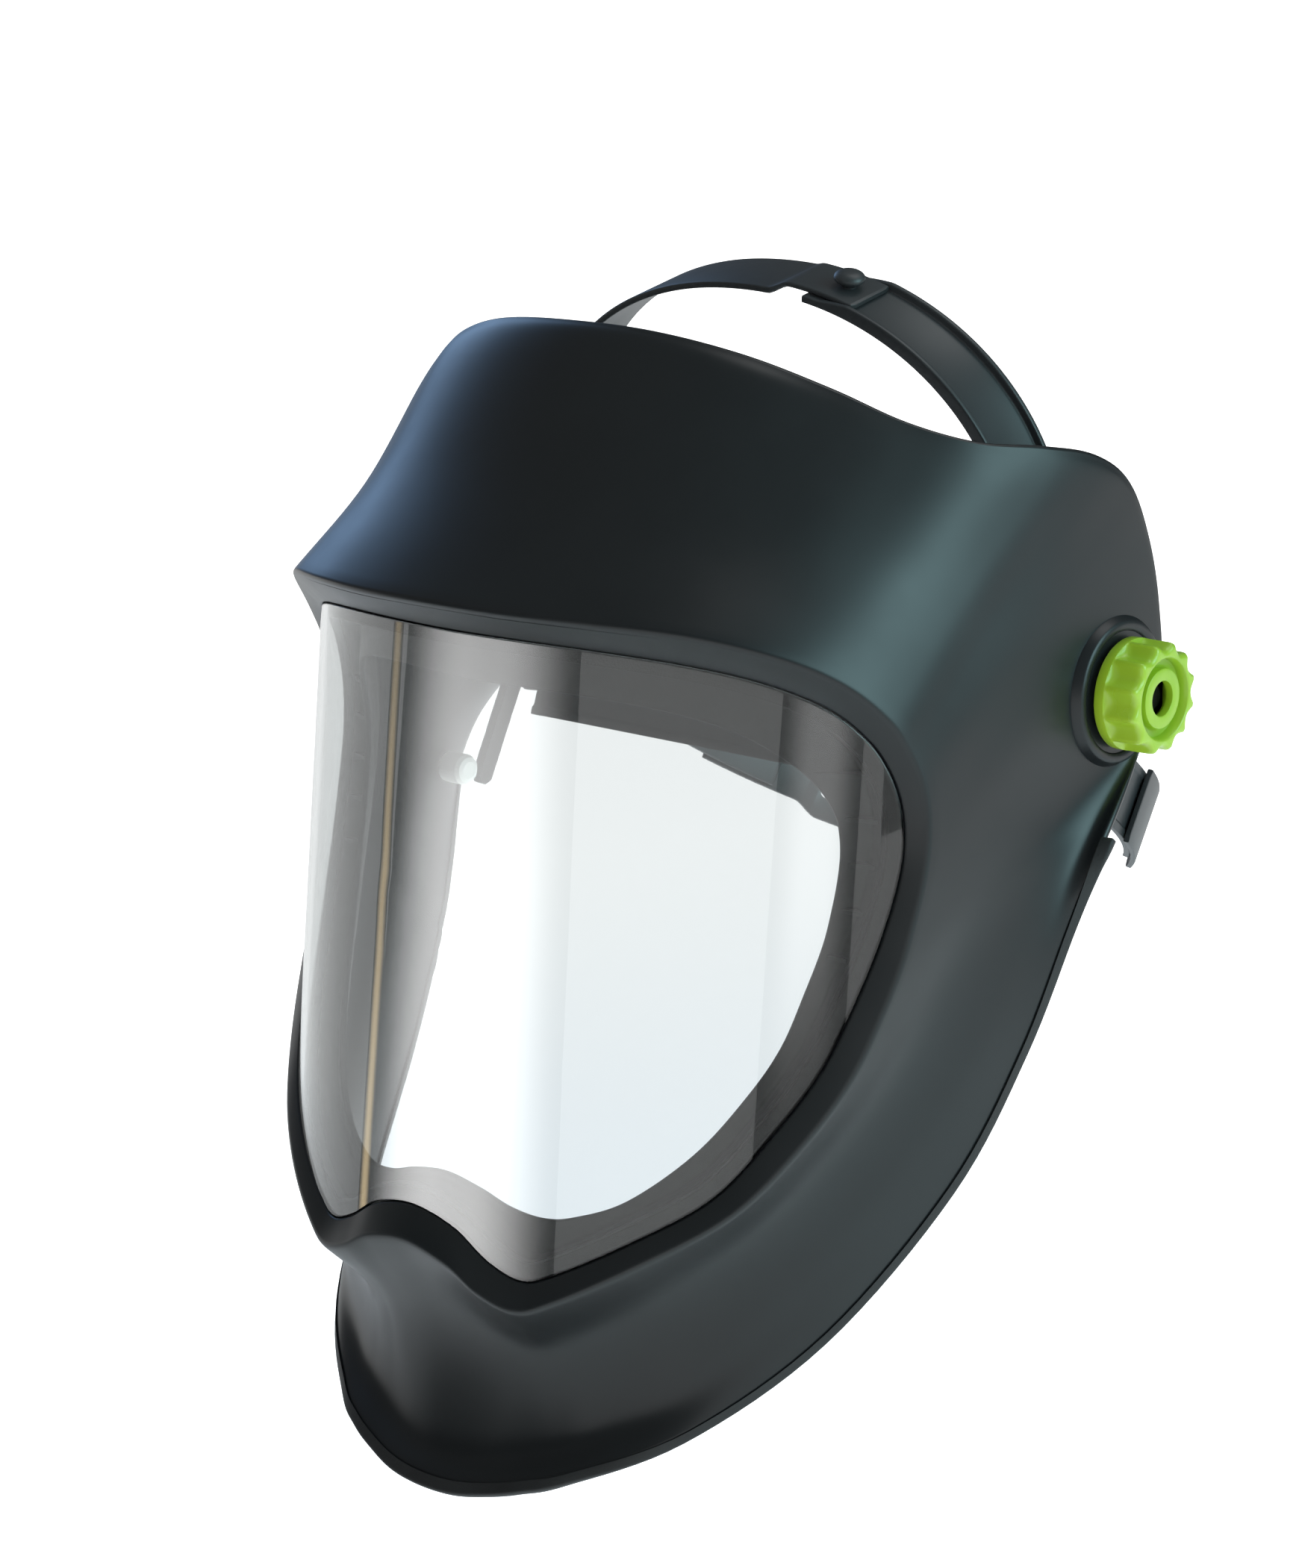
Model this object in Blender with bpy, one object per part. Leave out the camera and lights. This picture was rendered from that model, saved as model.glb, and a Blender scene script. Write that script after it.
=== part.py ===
"""Face-shield helmet on a head harness, as an assembly of separate pieces.

X is the wearer's left, -Y the front and +Z up.  The origin is the middle of the pivot axis, on which
the shell tips up.  Sizes below are in millimetres; the meshes are in metres.
"""

import math

import bmesh
import bpy
import numpy as np
from mathutils import Matrix, Vector
from mathutils.bvhtree import BVHTree

MM = 0.001
GAP = 0.3                 # between pieces that touch

# Overall sizes
HEAD_HALF_WIDTH = 86.5    # middle of the headband's wall
HEAD_FRONT = 79.0         # headband ahead of the pivot axis
HEAD_MIDDLE = 42.0        # centre of the rear arc, behind the pivot axis
SIDE_ROOM = 33.0          # from the headband to the shell's pivot pad
SHELL_REACH = 150.0       # lens ahead of the pivot axis, at the axis's height
SHELL_HEIGHT = 323.5      # top rim to chin rim
FLIP_ANGLE = 76.0         # how far the shell tips up
REACH_TRAVEL = 8.0        # fore-aft setting, each way

# Walls
SHELL_WALL = 2.5
SEAT_WALL = 2.3
SEAT_WIDTH = 4.5
LENS_THICKNESS = 1.8
GASKET_THICKNESS = 0.9
FRAME_WALL = 2.0
FRAME_DEPTH = 6.1         # how far the frame's band is set back
BAND_WALL = 2.2
BAND_HEIGHT = 30.0
STRAP_WALL = 1.8
CROWN_WALL = 2.0
CROWN_WIDTH = 23.0
CROWN_RIB = 2.2
TRIM_WIDTH = 2.6
TRIM_THICKNESS = 3.2
TRIM_STAND = 0.44 * SHELL_WALL    # the bead's inner face clears the wall's faceted edge

# Pivot pieces
BOLT_RADIUS = 4.0
BOLT_HEAD_RADIUS = 7.6
BUSH_WALL = 1.7
KNOB_RADIUS = 16.0
KNOB_LENGTH = 13.5
KNOB_SCALLOPS = 12
PAD_RADIUS = 19.0
BLOCK_HALF_HEIGHT = 11.0
BLOCK_HALF_LENGTH = 16.0
RAIL_WALL = 3.6
PEG_RADIUS = 5.0
PEG_LENGTH = 11.0
PEG_STAND = 1.5           # clears the curve of the wall
PEG_PLACE = (-35.0, -52.0)    # Y and Z on the shell's side

# Ratchet
PINION_TEETH = 10
TOOTH_MODULE = 1.2
REAR_TILT = 31.0
FRONT_SLOPE = 0.31
RATCHET_HALF_ANGLE = 22.0

# The cage below was drawn at these three sizes, and is stretched from them to the sizes above
BASE_HALF_WIDTH = 119.5
BASE_REACH = 150.0
BASE_HEIGHT = 323.5
LENS_RADIUS = 125.0       # the visor's sheet, bent round an upright axis
LENS_LEAN = 0.099         # how far the sheet goes back per millimetre of rise above the axis
PIVOT_X = HEAD_HALF_WIDTH + SIDE_ROOM
WIDE = PIVOT_X / BASE_HALF_WIDTH
DEEP = SHELL_REACH / BASE_REACH
TALL = SHELL_HEIGHT / BASE_HEIGHT

# The shell's cage.  Every list runs from the middle of the forehead, down the wearer's left side, to
# the middle of the chin.  Edges of the visor: angle round the lens in degrees, height.
VISOR_EDGE = [
    (0, 23.5), (12, 23.2), (23, 22), (33.5, 19.5), (43, 15), (51, 8), (56.5, -1), (59.5, -9.5),
    (61.2, -17.5), (62, -25), (62.2, -33), (61.8, -40.5), (61, -48.5), (59.6, -59), (57.2, -73),
    (53.8, -89.5), (48.7, -105.5), (41.5, -124), (31.5, -137.5), (21.5, -149), (17.3, -151.5),
    (12.5, -147.8), (7, -140.5), (0, -137.3),
]
# Crest of the brow and of the bevel round the visor: angle, height, stand-off from the lens.
CREST = [
    (0, 32.5, 10.5), (12, 32, 10.5), (23, 31.2, 10.5), (34, 29, 10), (44, 23.5, 9), (52, 15.5, 8),
    (58, 5, 6.5), (61.3, -4.5, 5), (63.4, -13, 4.2), (64.5, -22, 3.7), (64.8, -31, 3.5),
    (64.5, -40, 3.5), (63.7, -50, 3.5), (62.5, -62, 3.5), (60.3, -76, 3.5), (57, -92.5, 3.5),
    (51.8, -109, 3.5), (44, -127.5, 3.5), (33, -142.3, 3.5), (22.3, -155.3, 3.5),
    (17.3, -159.2, 3.5), (12, -156, 3.5), (7, -149.8, 3.5), (0, -146.5, 3.5),
]
# Inner edge of the frame behind the lens: angle, height.
FRAME_EDGE = [
    (0, 8), (11, 8), (21.5, 7), (31, 4.5), (39.5, 0), (46, -6.5), (50.5, -13), (53.3, -19),
    (54.9, -24.5), (55.6, -29.5), (55.9, -35), (55.8, -41), (55.4, -48), (54.4, -59),
    (52.3, -72), (49.5, -87), (45.2, -100.5), (38.5, -116.5), (29.5, -130.5), (22, -136.5),
    (17.3, -138), (12, -136.5), (6.5, -133), (0, -131),
]
# Free edge of the shell: X, Y, Z.
RIM = [
    (0, -98, 104), (28, -94.5, 102.5), (53, -85, 97), (74, -73.5, 88.5), (91, -63, 80),
    (105, -50, 74.5), (113.5, -31, 72), (117, -11, 68), (118.5, 4, 59), (119, 14, 42),
    (119.2, 20, 22), (119.5, 21.5, 0), (121.8, 8, -19), (127, -16, -38), (123, -26, -63),
    (117, -39, -98), (109, -60, -134), (93, -95, -172), (71, -128, -197), (46, -148.5, -210),
    (34, -155, -214), (23, -158.5, -217), (12, -161, -219), (0, -162, -219.5),
]
# Crease where the cheek turns out to the lower edge, and how far the panel bulges: X, Y, Z, bulge.
FOLD = [
    (0, -105, 97.5, 3), (27, -102, 95.5, 3), (53, -94, 89.5, 3), (76, -80, 80, 3),
    (93, -68, 72, 3), (107, -53, 66.5, 3), (114.5, -33, 63, 3), (117.8, -15, 59, 3),
    (118.8, -2, 51, 2), (119.1, 6, 37, 1), (119.2, 11, 20, 0), (119.2, 12, 0, 0),
    (119.6, 1, -20, 0.5), (121, -19, -39, 2), (118.5, -37, -63, 3), (114.5, -51, -92, 4),
    (106.5, -70, -121, 5), (92, -97, -153, 6), (72, -123, -181, 7), (48, -139, -197, 8),
    (36, -145, -202, 8), (25, -149, -205, 8), (12, -153, -207.5, 8), (0, -154.5, -208, 8),
]

scene = bpy.context.scene
for old in list(bpy.data.objects):
    bpy.data.objects.remove(old, do_unlink=True)


def material(name, colour, roughness=0.5, metallic=0.0, alpha=1.0):
    made = bpy.data.materials.new(name)
    made.use_nodes = True
    shader = made.node_tree.nodes["Principled BSDF"]
    shader.inputs["Base Color"].default_value = (*colour, 1.0)
    shader.inputs["Roughness"].default_value = roughness
    shader.inputs["Metallic"].default_value = metallic
    shader.inputs["Alpha"].default_value = alpha
    return made


SHELL_BLACK = material("shell_nylon", (0.030, 0.036, 0.040), 0.45)
TRIM_BLACK = material("trim_rubber", (0.012, 0.013, 0.014), 0.6)
CLEAR = material("clear_polycarbonate", (0.85, 0.88, 0.88), 0.03, 0.0, 0.25)
FRAME_BLACK = material("frame_nylon", (0.022, 0.024, 0.025), 0.5)
RUBBER = material("gasket_rubber", (0.010, 0.010, 0.010), 0.8)
STEEL = material("zinc_steel", (0.55, 0.56, 0.57), 0.3, 1.0)
BRASS = material("brass", (0.62, 0.48, 0.22), 0.3, 1.0)
LIME = material("lime_nylon", (0.30, 0.56, 0.03), 0.35)
STRAP_BLACK = material("strap_polyethylene", (0.028, 0.030, 0.032), 0.5)
FABRIC = material("sweatband_fabric", (0.020, 0.020, 0.022), 0.9)
WHITE = material("acetal", (0.75, 0.75, 0.72), 0.4)


def finish(name, bm, look, parent=None, smooth=32.0):
    """Puts a bmesh, in millimetres in the part's frame, into a named object."""
    bmesh.ops.recalc_face_normals(bm, faces=bm.faces)
    if bm.calc_volume(signed=True) < 0:
        bmesh.ops.reverse_faces(bm, faces=bm.faces)
    turn = parent.matrix_world.inverted() if parent else Matrix()
    bmesh.ops.scale(bm, vec=(MM, MM, MM), verts=bm.verts)
    bmesh.ops.transform(bm, matrix=turn, verts=bm.verts)
    mesh = bpy.data.meshes.new(name)
    bm.to_mesh(mesh)
    bm.free()
    mesh.shade_smooth()
    mesh.set_sharp_from_angle(angle=math.radians(smooth))
    mesh.materials.append(look)
    made = bpy.data.objects.new(name, mesh)
    scene.collection.objects.link(made)
    if parent:
        made.parent = parent
    return made


def pivot(name, place):
    """An empty on a joint's axis, which the pieces of a moving body hang from."""
    made = bpy.data.objects.new(name, None)
    made.empty_display_size = 0.02
    made.location = Vector(place) * MM
    scene.collection.objects.link(made)
    bpy.context.view_layer.update()
    return made


def skin(rows, closed_stack=False):
    """A bmesh over a stack of closed rows of points.  A row of one point closes that end as a pole."""
    bm = bmesh.new()
    loops = [[bm.verts.new(point) for point in row] for row in rows]
    pairs = list(zip(loops, loops[1:]))
    if closed_stack:
        pairs.append((loops[-1], loops[0]))
    for low, high in pairs:
        count = max(len(low), len(high))
        for i in range(count):
            j = (i + 1) % count
            ring = [
                low[i % len(low)], low[j % len(low)], high[j % len(high)], high[i % len(high)],
            ]
            bm.faces.new(list(dict.fromkeys(ring)))
    if not closed_stack:
        for end in (loops[0], loops[-1]):
            if len(end) > 2:
                bm.faces.new(end)
    return bm


def smooth_row(points, step, closed=True):
    """Points on a Catmull-Rom curve, with this many spans between one given point and the next."""
    points = np.asarray(points, float)
    if closed:
        padded = np.vstack([points[-1:], points, points[:2]])
    else:
        padded = np.vstack([2 * points[:1] - points[1:2], points, 2 * points[-1:] - points[-2:-1]])
    a, b, c, d = (padded[k:len(padded) - 3 + k, None, :] for k in range(4))
    t = (np.arange(step) / step)[None, :, None]
    curve = 0.5 * (
        2 * b + (c - a) * t + (2 * a - 5 * b + 4 * c - d) * t**2
        + (3 * b - a - 3 * c + d) * t**3
    )
    curve = curve.reshape(-1, points.shape[1])
    return curve if closed else np.vstack([curve, points[-1:]])


def all_round(half, step=2):
    """The left half's list with its mirror image, as one smooth closed row."""
    half = np.asarray(half, float)
    other = half[-2:0:-1].copy()
    other[:, 0] *= -1
    return smooth_row(np.vstack([half, other]), step)


def on_lens(edge, off):
    """Points at a stand-off from the lens's outer face, from rows of angle and height."""
    edge = np.asarray(edge, float)
    angle = np.radians(edge[:, 0])
    height = edge[:, 1] * TALL
    wide = LENS_RADIUS * WIDE
    deep = LENS_RADIUS * DEEP
    middle = -SHELL_REACH + LENS_LEAN * height + deep
    outward = np.column_stack([deep * np.sin(angle), -wide * np.cos(angle)])
    outward /= np.linalg.norm(outward, axis=1)[:, None]
    x = wide * np.sin(angle) + off * outward[:, 0]
    y = middle - deep * np.cos(angle) + off * outward[:, 1]
    return np.column_stack([x, y, height])


def inset_edge(edge, distance):
    """A closed row of angle and height moved sideways on the lens, inwards where positive."""
    flat = np.asarray(edge, float) * [math.radians(1.0) * LENS_RADIUS * WIDE, TALL]
    along = np.roll(flat, -1, axis=0) - np.roll(flat, 1, axis=0)
    side = np.column_stack([along[:, 1], -along[:, 0]])
    side /= np.linalg.norm(side, axis=1)[:, None]
    flat = flat + side * distance
    return flat / [math.radians(1.0) * LENS_RADIUS * WIDE, TALL]


def sized(points):
    """Cage points at the shell's real width, reach and height.  The sides move out as they are, so that
    they keep their shape round the pivots, and the middle spreads between them."""
    points = np.asarray(points, float)
    share = np.clip(points[:, 0] / BASE_HALF_WIDTH, -1, 1)
    x = points[:, 0] + (PIVOT_X - BASE_HALF_WIDTH) * np.sin(share * math.pi / 2)
    deep = np.where(points[:, 1] < 0, DEEP, 1.0)
    return np.column_stack([x, points[:, 1] * deep, points[:, 2] * TALL])


def row_normals(rows):
    """Outward normals of a grid of rows, by differences along and across the rows."""
    grid = np.asarray(rows)
    along = np.roll(grid, -1, axis=1) - np.roll(grid, 1, axis=1)
    across = np.gradient(grid, axis=0)
    normal = np.cross(along, across)
    return normal / np.linalg.norm(normal, axis=2)[:, :, None]


def shell_rows():
    """Outer rows of the shell from the crest to the rim, and the crest's own row first."""
    crest = on_crest(all_round(CREST))
    rim = sized(all_round(RIM))
    fold = all_round(FOLD)
    bulge = fold[:, 3:]
    fold = sized(fold[:, :3])
    chord = fold - crest
    along = np.roll(crest, -1, axis=0) - np.roll(crest, 1, axis=0)
    out = np.cross(chord, along)
    out /= np.linalg.norm(out, axis=1)[:, None]
    middle = (crest + fold) / 2 + out * bulge
    shape = np.stack([crest, middle, fold, rim])
    columns = [smooth_row(shape[:, k], 2, closed=False) for k in range(shape.shape[1])]
    return np.stack(columns, axis=1)


def on_crest(crest):
    """Points of the crest, each at its own stand-off."""
    return np.vstack([on_lens(row[None, :2], row[2]) for row in crest])


def combine(target, operation, tool_mesh):
    """Joins a tool to a target, or cuts it out, and keeps the result as the target's own mesh."""
    tool = finish("tool", tool_mesh, STEEL)
    change = target.modifiers.new(operation, "BOOLEAN")
    change.operation = operation
    change.solver = "EXACT"
    change.object = tool
    bpy.context.view_layer.update()
    graph = bpy.context.evaluated_depsgraph_get()
    mesh = bpy.data.meshes.new_from_object(target.evaluated_get(graph))
    target.modifiers.clear()
    target.data = mesh
    bpy.data.objects.remove(tool, do_unlink=True)


def turned(profile, axis_place, axis=(1, 0, 0), steps=18, sign=1):
    """A turned solid.  The profile is a closed loop of (distance along the axis, radius)."""
    axis = Vector(axis).normalized()
    side = axis.orthogonal().normalized()
    other = axis.cross(side)
    rows = []
    for along, radius in profile:
        centre = Vector(axis_place) + axis * along * sign
        if radius < 1e-6:
            rows.append([centre])
            continue
        angles = [2 * math.pi * k / steps for k in range(steps)]
        rows.append([centre + (side * math.cos(a) + other * math.sin(a)) * radius for a in angles])
    return skin(rows, closed_stack=len(rows[0]) > 1)


def disc(x_low, x_high, radius, hole, sign, place=(0, 0), steps=18, edge=0.4):
    """A washer-like solid across X, with its outer edges broken."""
    edge = min(edge, (x_high - x_low) / 3)
    profile = [
        (x_low, hole), (x_low, radius - edge), (x_low + edge, radius), (x_high - edge, radius),
        (x_high, radius - edge), (x_high, hole),
    ]
    return turned(profile, (0, *place), steps=steps, sign=sign)


def box(low, high):
    bm = bmesh.new()
    bmesh.ops.create_cube(bm, size=1.0)
    low = Vector(low)
    high = Vector(high)
    bmesh.ops.scale(bm, vec=high - low, verts=bm.verts)
    bmesh.ops.translate(bm, vec=(low + high) / 2, verts=bm.verts)
    return bm


def prism(outline, x_low, x_high, sign):
    """An outline of (Y, Z) points carried from one X to another."""
    rows = [[(sign * x, y, z) for y, z in outline] for x in (x_low, x_high)]
    return skin(rows)


# Bodies: empties on the joint axes
shell_pivot = pivot("shell_pivot", (0, 0, 0))
SIDES = {"left": 1, "right": -1}
carriers = {}
knobs = {}
for side, sign in SIDES.items():
    carriers[side] = pivot(f"{side}_carriage_slide", (sign * PIVOT_X, 0, 0))
    knobs[side] = pivot(f"{side}_knob_axis", (sign * PIVOT_X, 0, 0))

# ---------------------------------------------------------------- shell, lens and frame
EDGE = all_round(VISOR_EDGE)
SEAT_FRONT = -LENS_THICKNESS - GASKET_THICKNESS - 2 * GAP
SEAT_BACK = SEAT_FRONT - SEAT_WALL
EDGE_CLEARANCE = 0.4      # round the edge of the visor's sheet
SEAT_FOOT = 0.2           # the bevel starts this far proud of the sheet
PAD_OUT = 0.6             # the pivot pad, outside and inside the pivot plane
PAD_IN = 4.0
FRAME_FLANGE = 3.2        # the frame's flange reaches this far past the visor's edge


def outer_shell():
    rows = shell_rows()
    normals = row_normals(rows)
    inner = (rows - normals * SHELL_WALL)[::-1]
    foot = on_lens(inset_edge(EDGE, -EDGE_CLEARANCE), SEAT_FOOT)
    corner = on_lens(inset_edge(EDGE, -EDGE_CLEARANCE), SEAT_FRONT)
    lip = on_lens(inset_edge(EDGE, SEAT_WIDTH), SEAT_FRONT)
    lip_back = on_lens(inset_edge(EDGE, SEAT_WIDTH), SEAT_BACK)
    corner_back = on_lens(inset_edge(EDGE, -EDGE_CLEARANCE - SHELL_WALL), SEAT_BACK)
    stack = [lip, corner, foot, *rows, *inner, corner_back, lip_back]
    made = finish("outer_shell", skin(stack, closed_stack=True), SHELL_BLACK, shell_pivot, 40)
    for sign in SIDES.values():
        pad = disc(PIVOT_X - PAD_IN, PIVOT_X + PAD_OUT + 2, PAD_RADIUS, 0, sign, steps=28, edge=0.8)
        combine(made, "UNION", pad)
        face = disc(PIVOT_X + PAD_OUT, PIVOT_X + 12, PAD_RADIUS + 1, 0, sign, steps=28)
        combine(made, "DIFFERENCE", face)
        hole = BOLT_RADIUS + GAP + BUSH_WALL + GAP
        combine(made, "DIFFERENCE", disc(PIVOT_X - 15, PIVOT_X + 15, hole, 0, sign))
    return made


shell = outer_shell()
LENS_MIDDLE = (0.0, -55.0)    # angle and height that the sheet's rings shrink to


def wall_point(y, z, sign):
    """Where a line from the middle meets the inside of the shell's side, and the way back in."""
    tree = BVHTree.FromObject(shell, bpy.context.evaluated_depsgraph_get())
    place, normal, _, _ = tree.ray_cast(Vector((0, y, z)) * MM, Vector((sign, 0, 0)))
    return place / MM, normal


def visor_lens():
    """The sheet: rings that shrink to a point on the outer face, and the same again on the inner."""
    shares = (0.0, 0.45, 0.78, 0.95, 1.0)
    middle = np.array(LENS_MIDDLE)
    rows = []
    for off, order in ((0.0, shares), (-LENS_THICKNESS, shares[::-1])):
        for share in order:
            flat = middle + (EDGE - middle) * share
            rows.append(on_lens(flat[:1] if share == 0 else flat, off))
    return finish("visor_lens", skin(rows), CLEAR, shell_pivot)


def ring_on_lens(name, section, look):
    """A closed strip round the visor, from (inset, stand-off) corners of its section."""
    rows = [on_lens(inset_edge(EDGE, inset), off) for inset, off in section]
    return finish(name, skin(rows, closed_stack=True), look, shell_pivot)


def visor_frame():
    top = SEAT_BACK - GAP
    low = top - FRAME_DEPTH
    inner = all_round(FRAME_EDGE)
    wide = SEAT_WIDTH
    rows = [
        on_lens(inset_edge(EDGE, wide), top),
        on_lens(inset_edge(EDGE, wide), low),
        on_lens(inner, low),
        on_lens(inner, low - FRAME_WALL),
        on_lens(inset_edge(EDGE, wide - FRAME_WALL), low - FRAME_WALL),
        on_lens(inset_edge(EDGE, wide - FRAME_WALL), top - FRAME_WALL),
        on_lens(inset_edge(EDGE, -FRAME_FLANGE), top - FRAME_WALL),
        on_lens(inset_edge(EDGE, -FRAME_FLANGE), top),
    ]
    return finish("visor_frame", skin(rows, closed_stack=True), FRAME_BLACK, shell_pivot)


visor_lens()
gasket_top = -LENS_THICKNESS - GAP
gasket_low = gasket_top - GASKET_THICKNESS
GASKET_EDGE = 0.8
GASKET_INNER = SEAT_WIDTH - 0.5
gasket = [(GASKET_EDGE, gasket_top), (GASKET_INNER, gasket_top), (GASKET_INNER, gasket_low),
          (GASKET_EDGE, gasket_low)]
ring_on_lens("visor_gasket", gasket, RUBBER)
frame = visor_frame()

SCREW_RADIUS = 1.3
SCREW_BITE = 1.3          # how far a screw goes into the seat
SCREW_INSET = -0.6        # from the edge of the visor opening
SCREW_STATIONS = (8, 26, 38, 54, 66, 84)
FRAME_BACK = -(SEAT_BACK - GAP - FRAME_WALL)
for number, station in enumerate(SCREW_STATIONS):
    edge = inset_edge(EDGE, SCREW_INSET)[station:station + 1]
    outside = Vector(on_lens(edge, 0.0)[0])
    inside = Vector(on_lens(edge, -10.0)[0])
    axis = (inside - outside).normalized()
    tip = -SEAT_BACK - SCREW_BITE
    head = FRAME_BACK + 2 * GAP
    bore = [(tip - GAP, 0), (tip - GAP, SCREW_RADIUS + GAP), (head + 3.4, SCREW_RADIUS + GAP), (head + 3.4, 0)]
    for pierced in (shell, frame):
        combine(pierced, "DIFFERENCE", turned(bore, outside, axis, 16))
    screw = turned(
        [(tip, 0), (tip, SCREW_RADIUS), (head, SCREW_RADIUS), (head, 2.4), (head + 1.0, 2.2),
         (head + 1.5, 1.4), (head + 1.5, 0)],
        outside, axis, 16)
    finish(f"frame_screw_{number + 1}", screw, STEEL, shell_pivot)


TRIM_STATION = 13         # the bead starts at this row of the rim's list


def rim_trim():
    """A bead along the lower edge, from behind one pivot, under the chin, to the other."""
    rows = shell_rows()
    rim = rows[-1]
    out = rim - rows[-2]
    out /= np.linalg.norm(out, axis=1)[:, None]
    face = row_normals(rows)[-1]
    first = 2 * TRIM_STATION
    last = len(rim) - first
    half = TRIM_THICKNESS / 2
    far = GAP + TRIM_WIDTH
    middle = rim - face * SHELL_WALL / 2
    corners = []
    for step, across in ((TRIM_STAND, -half), (TRIM_STAND, half), (far, half * 0.6), (far, -half * 0.6)):
        corners.append(middle + out * step + face * across)
    stack = np.stack(corners, axis=1)[first:last + 1]
    return finish("rim_trim", skin(list(stack)), TRIM_BLACK, shell_pivot)


rim_trim()

# ---------------------------------------------------------------- pivot sides
STRAP_OUT = HEAD_HALF_WIDTH + BAND_WALL / 2 + GAP + CROWN_WALL
GUIDE_X = STRAP_OUT + CROWN_RIB + 0.5
GUIDE_WALL = 2.2
BLOCK_X = GUIDE_X + GUIDE_WALL + GAP
PAD_X = PIVOT_X - PAD_IN
SPRING_WASHER = 1.4
FRICTION_WASHER = 1.2
BOSS_X = PAD_X - SPRING_WASHER - FRICTION_WASHER - 3 * GAP
BLOCK_TOP = BLOCK_X + 7.0
LIP = 1.8                 # the rails' lips, which hold the block in
RAIL_INSIDE = BLOCK_HALF_HEIGHT + GAP + 0.1
BOSS_RADIUS = BLOCK_HALF_HEIGHT - 3.0
STOP_INSET = 6.7          # the shell's wall curves in this far over the stop fingers' sweep
WIDER_INSET = 0.025       # and that much deeper for each millimetre that the shell is wider
STOP_X = BOSS_X - STOP_INSET - WIDER_INSET * (PIVOT_X - BASE_HALF_WIDTH)
STOP_WALL = 3.4
STOP_HUB_RADIUS = 15.0
FINGER_HALF = 3.0
BUSH_FLANGE = 0.8
KNOB_X = PIVOT_X + PAD_OUT + BUSH_FLANGE + 2 * GAP
POST_RADIUS = 3.6         # posts that stand the guide plate on the headband
POST_PLACES = (-14.0, 36.0)
POST_SCREW_DEPTH = 5.0
POST_SCREW_HEAD = 2.6
HEAD_POCKET = 5.0         # depth of the pocket for the bolt's head
RAIL_END = 3.0
WASHER_RADIUS = 13.0
SPRING_RADIUS = 11.0
BUSH_FLANGE_RADIUS = 11.0
NUT_FLAT = 6.7            # half of the nut's width across its flats
NUT_LENGTH = 6.0
KNOB_BLIND = 8.8          # depth of the knob's blind end from the shell's side
FLUTE_DEPTH = 1.7


def band_point(turn):
    """Middle of the headband at an angle from the front, its outward way and its up way."""
    deep = HEAD_MIDDLE + HEAD_FRONT
    x = HEAD_HALF_WIDTH * math.sin(turn)
    y = HEAD_MIDDLE - deep * math.cos(turn)
    out = Vector((deep * math.sin(turn), -HEAD_HALF_WIDTH * math.cos(turn), 0)).normalized()
    return Vector((x, y, -FRONT_SLOPE * (y + HEAD_FRONT))), out


def band_turn(y):
    return math.acos((HEAD_MIDDLE - y) / (HEAD_MIDDLE + HEAD_FRONT))


def band_wall(y):
    """X of the headband's outer and inner face at a place along it, its lean there, and its height."""
    spot, out = band_point(band_turn(y))
    half = BAND_WALL / 2 / out.x
    return spot.x + half, spot.x - half, abs(out.y / out.x), spot.z


def arm(angle, reach, half_width):
    """Corners of a finger that points at an angle above straight ahead, as (Y, Z)."""
    a = math.radians(angle)
    ahead = Vector((-math.cos(a), math.sin(a)))
    side = Vector((ahead.y, -ahead.x))
    return [tuple(ahead * along + side * across) for along, across in
            ((6, -half_width), (reach - 2, -half_width), (reach, -half_width + 2),
             (reach, half_width - 2), (reach - 2, half_width), (6, half_width))]


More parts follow.
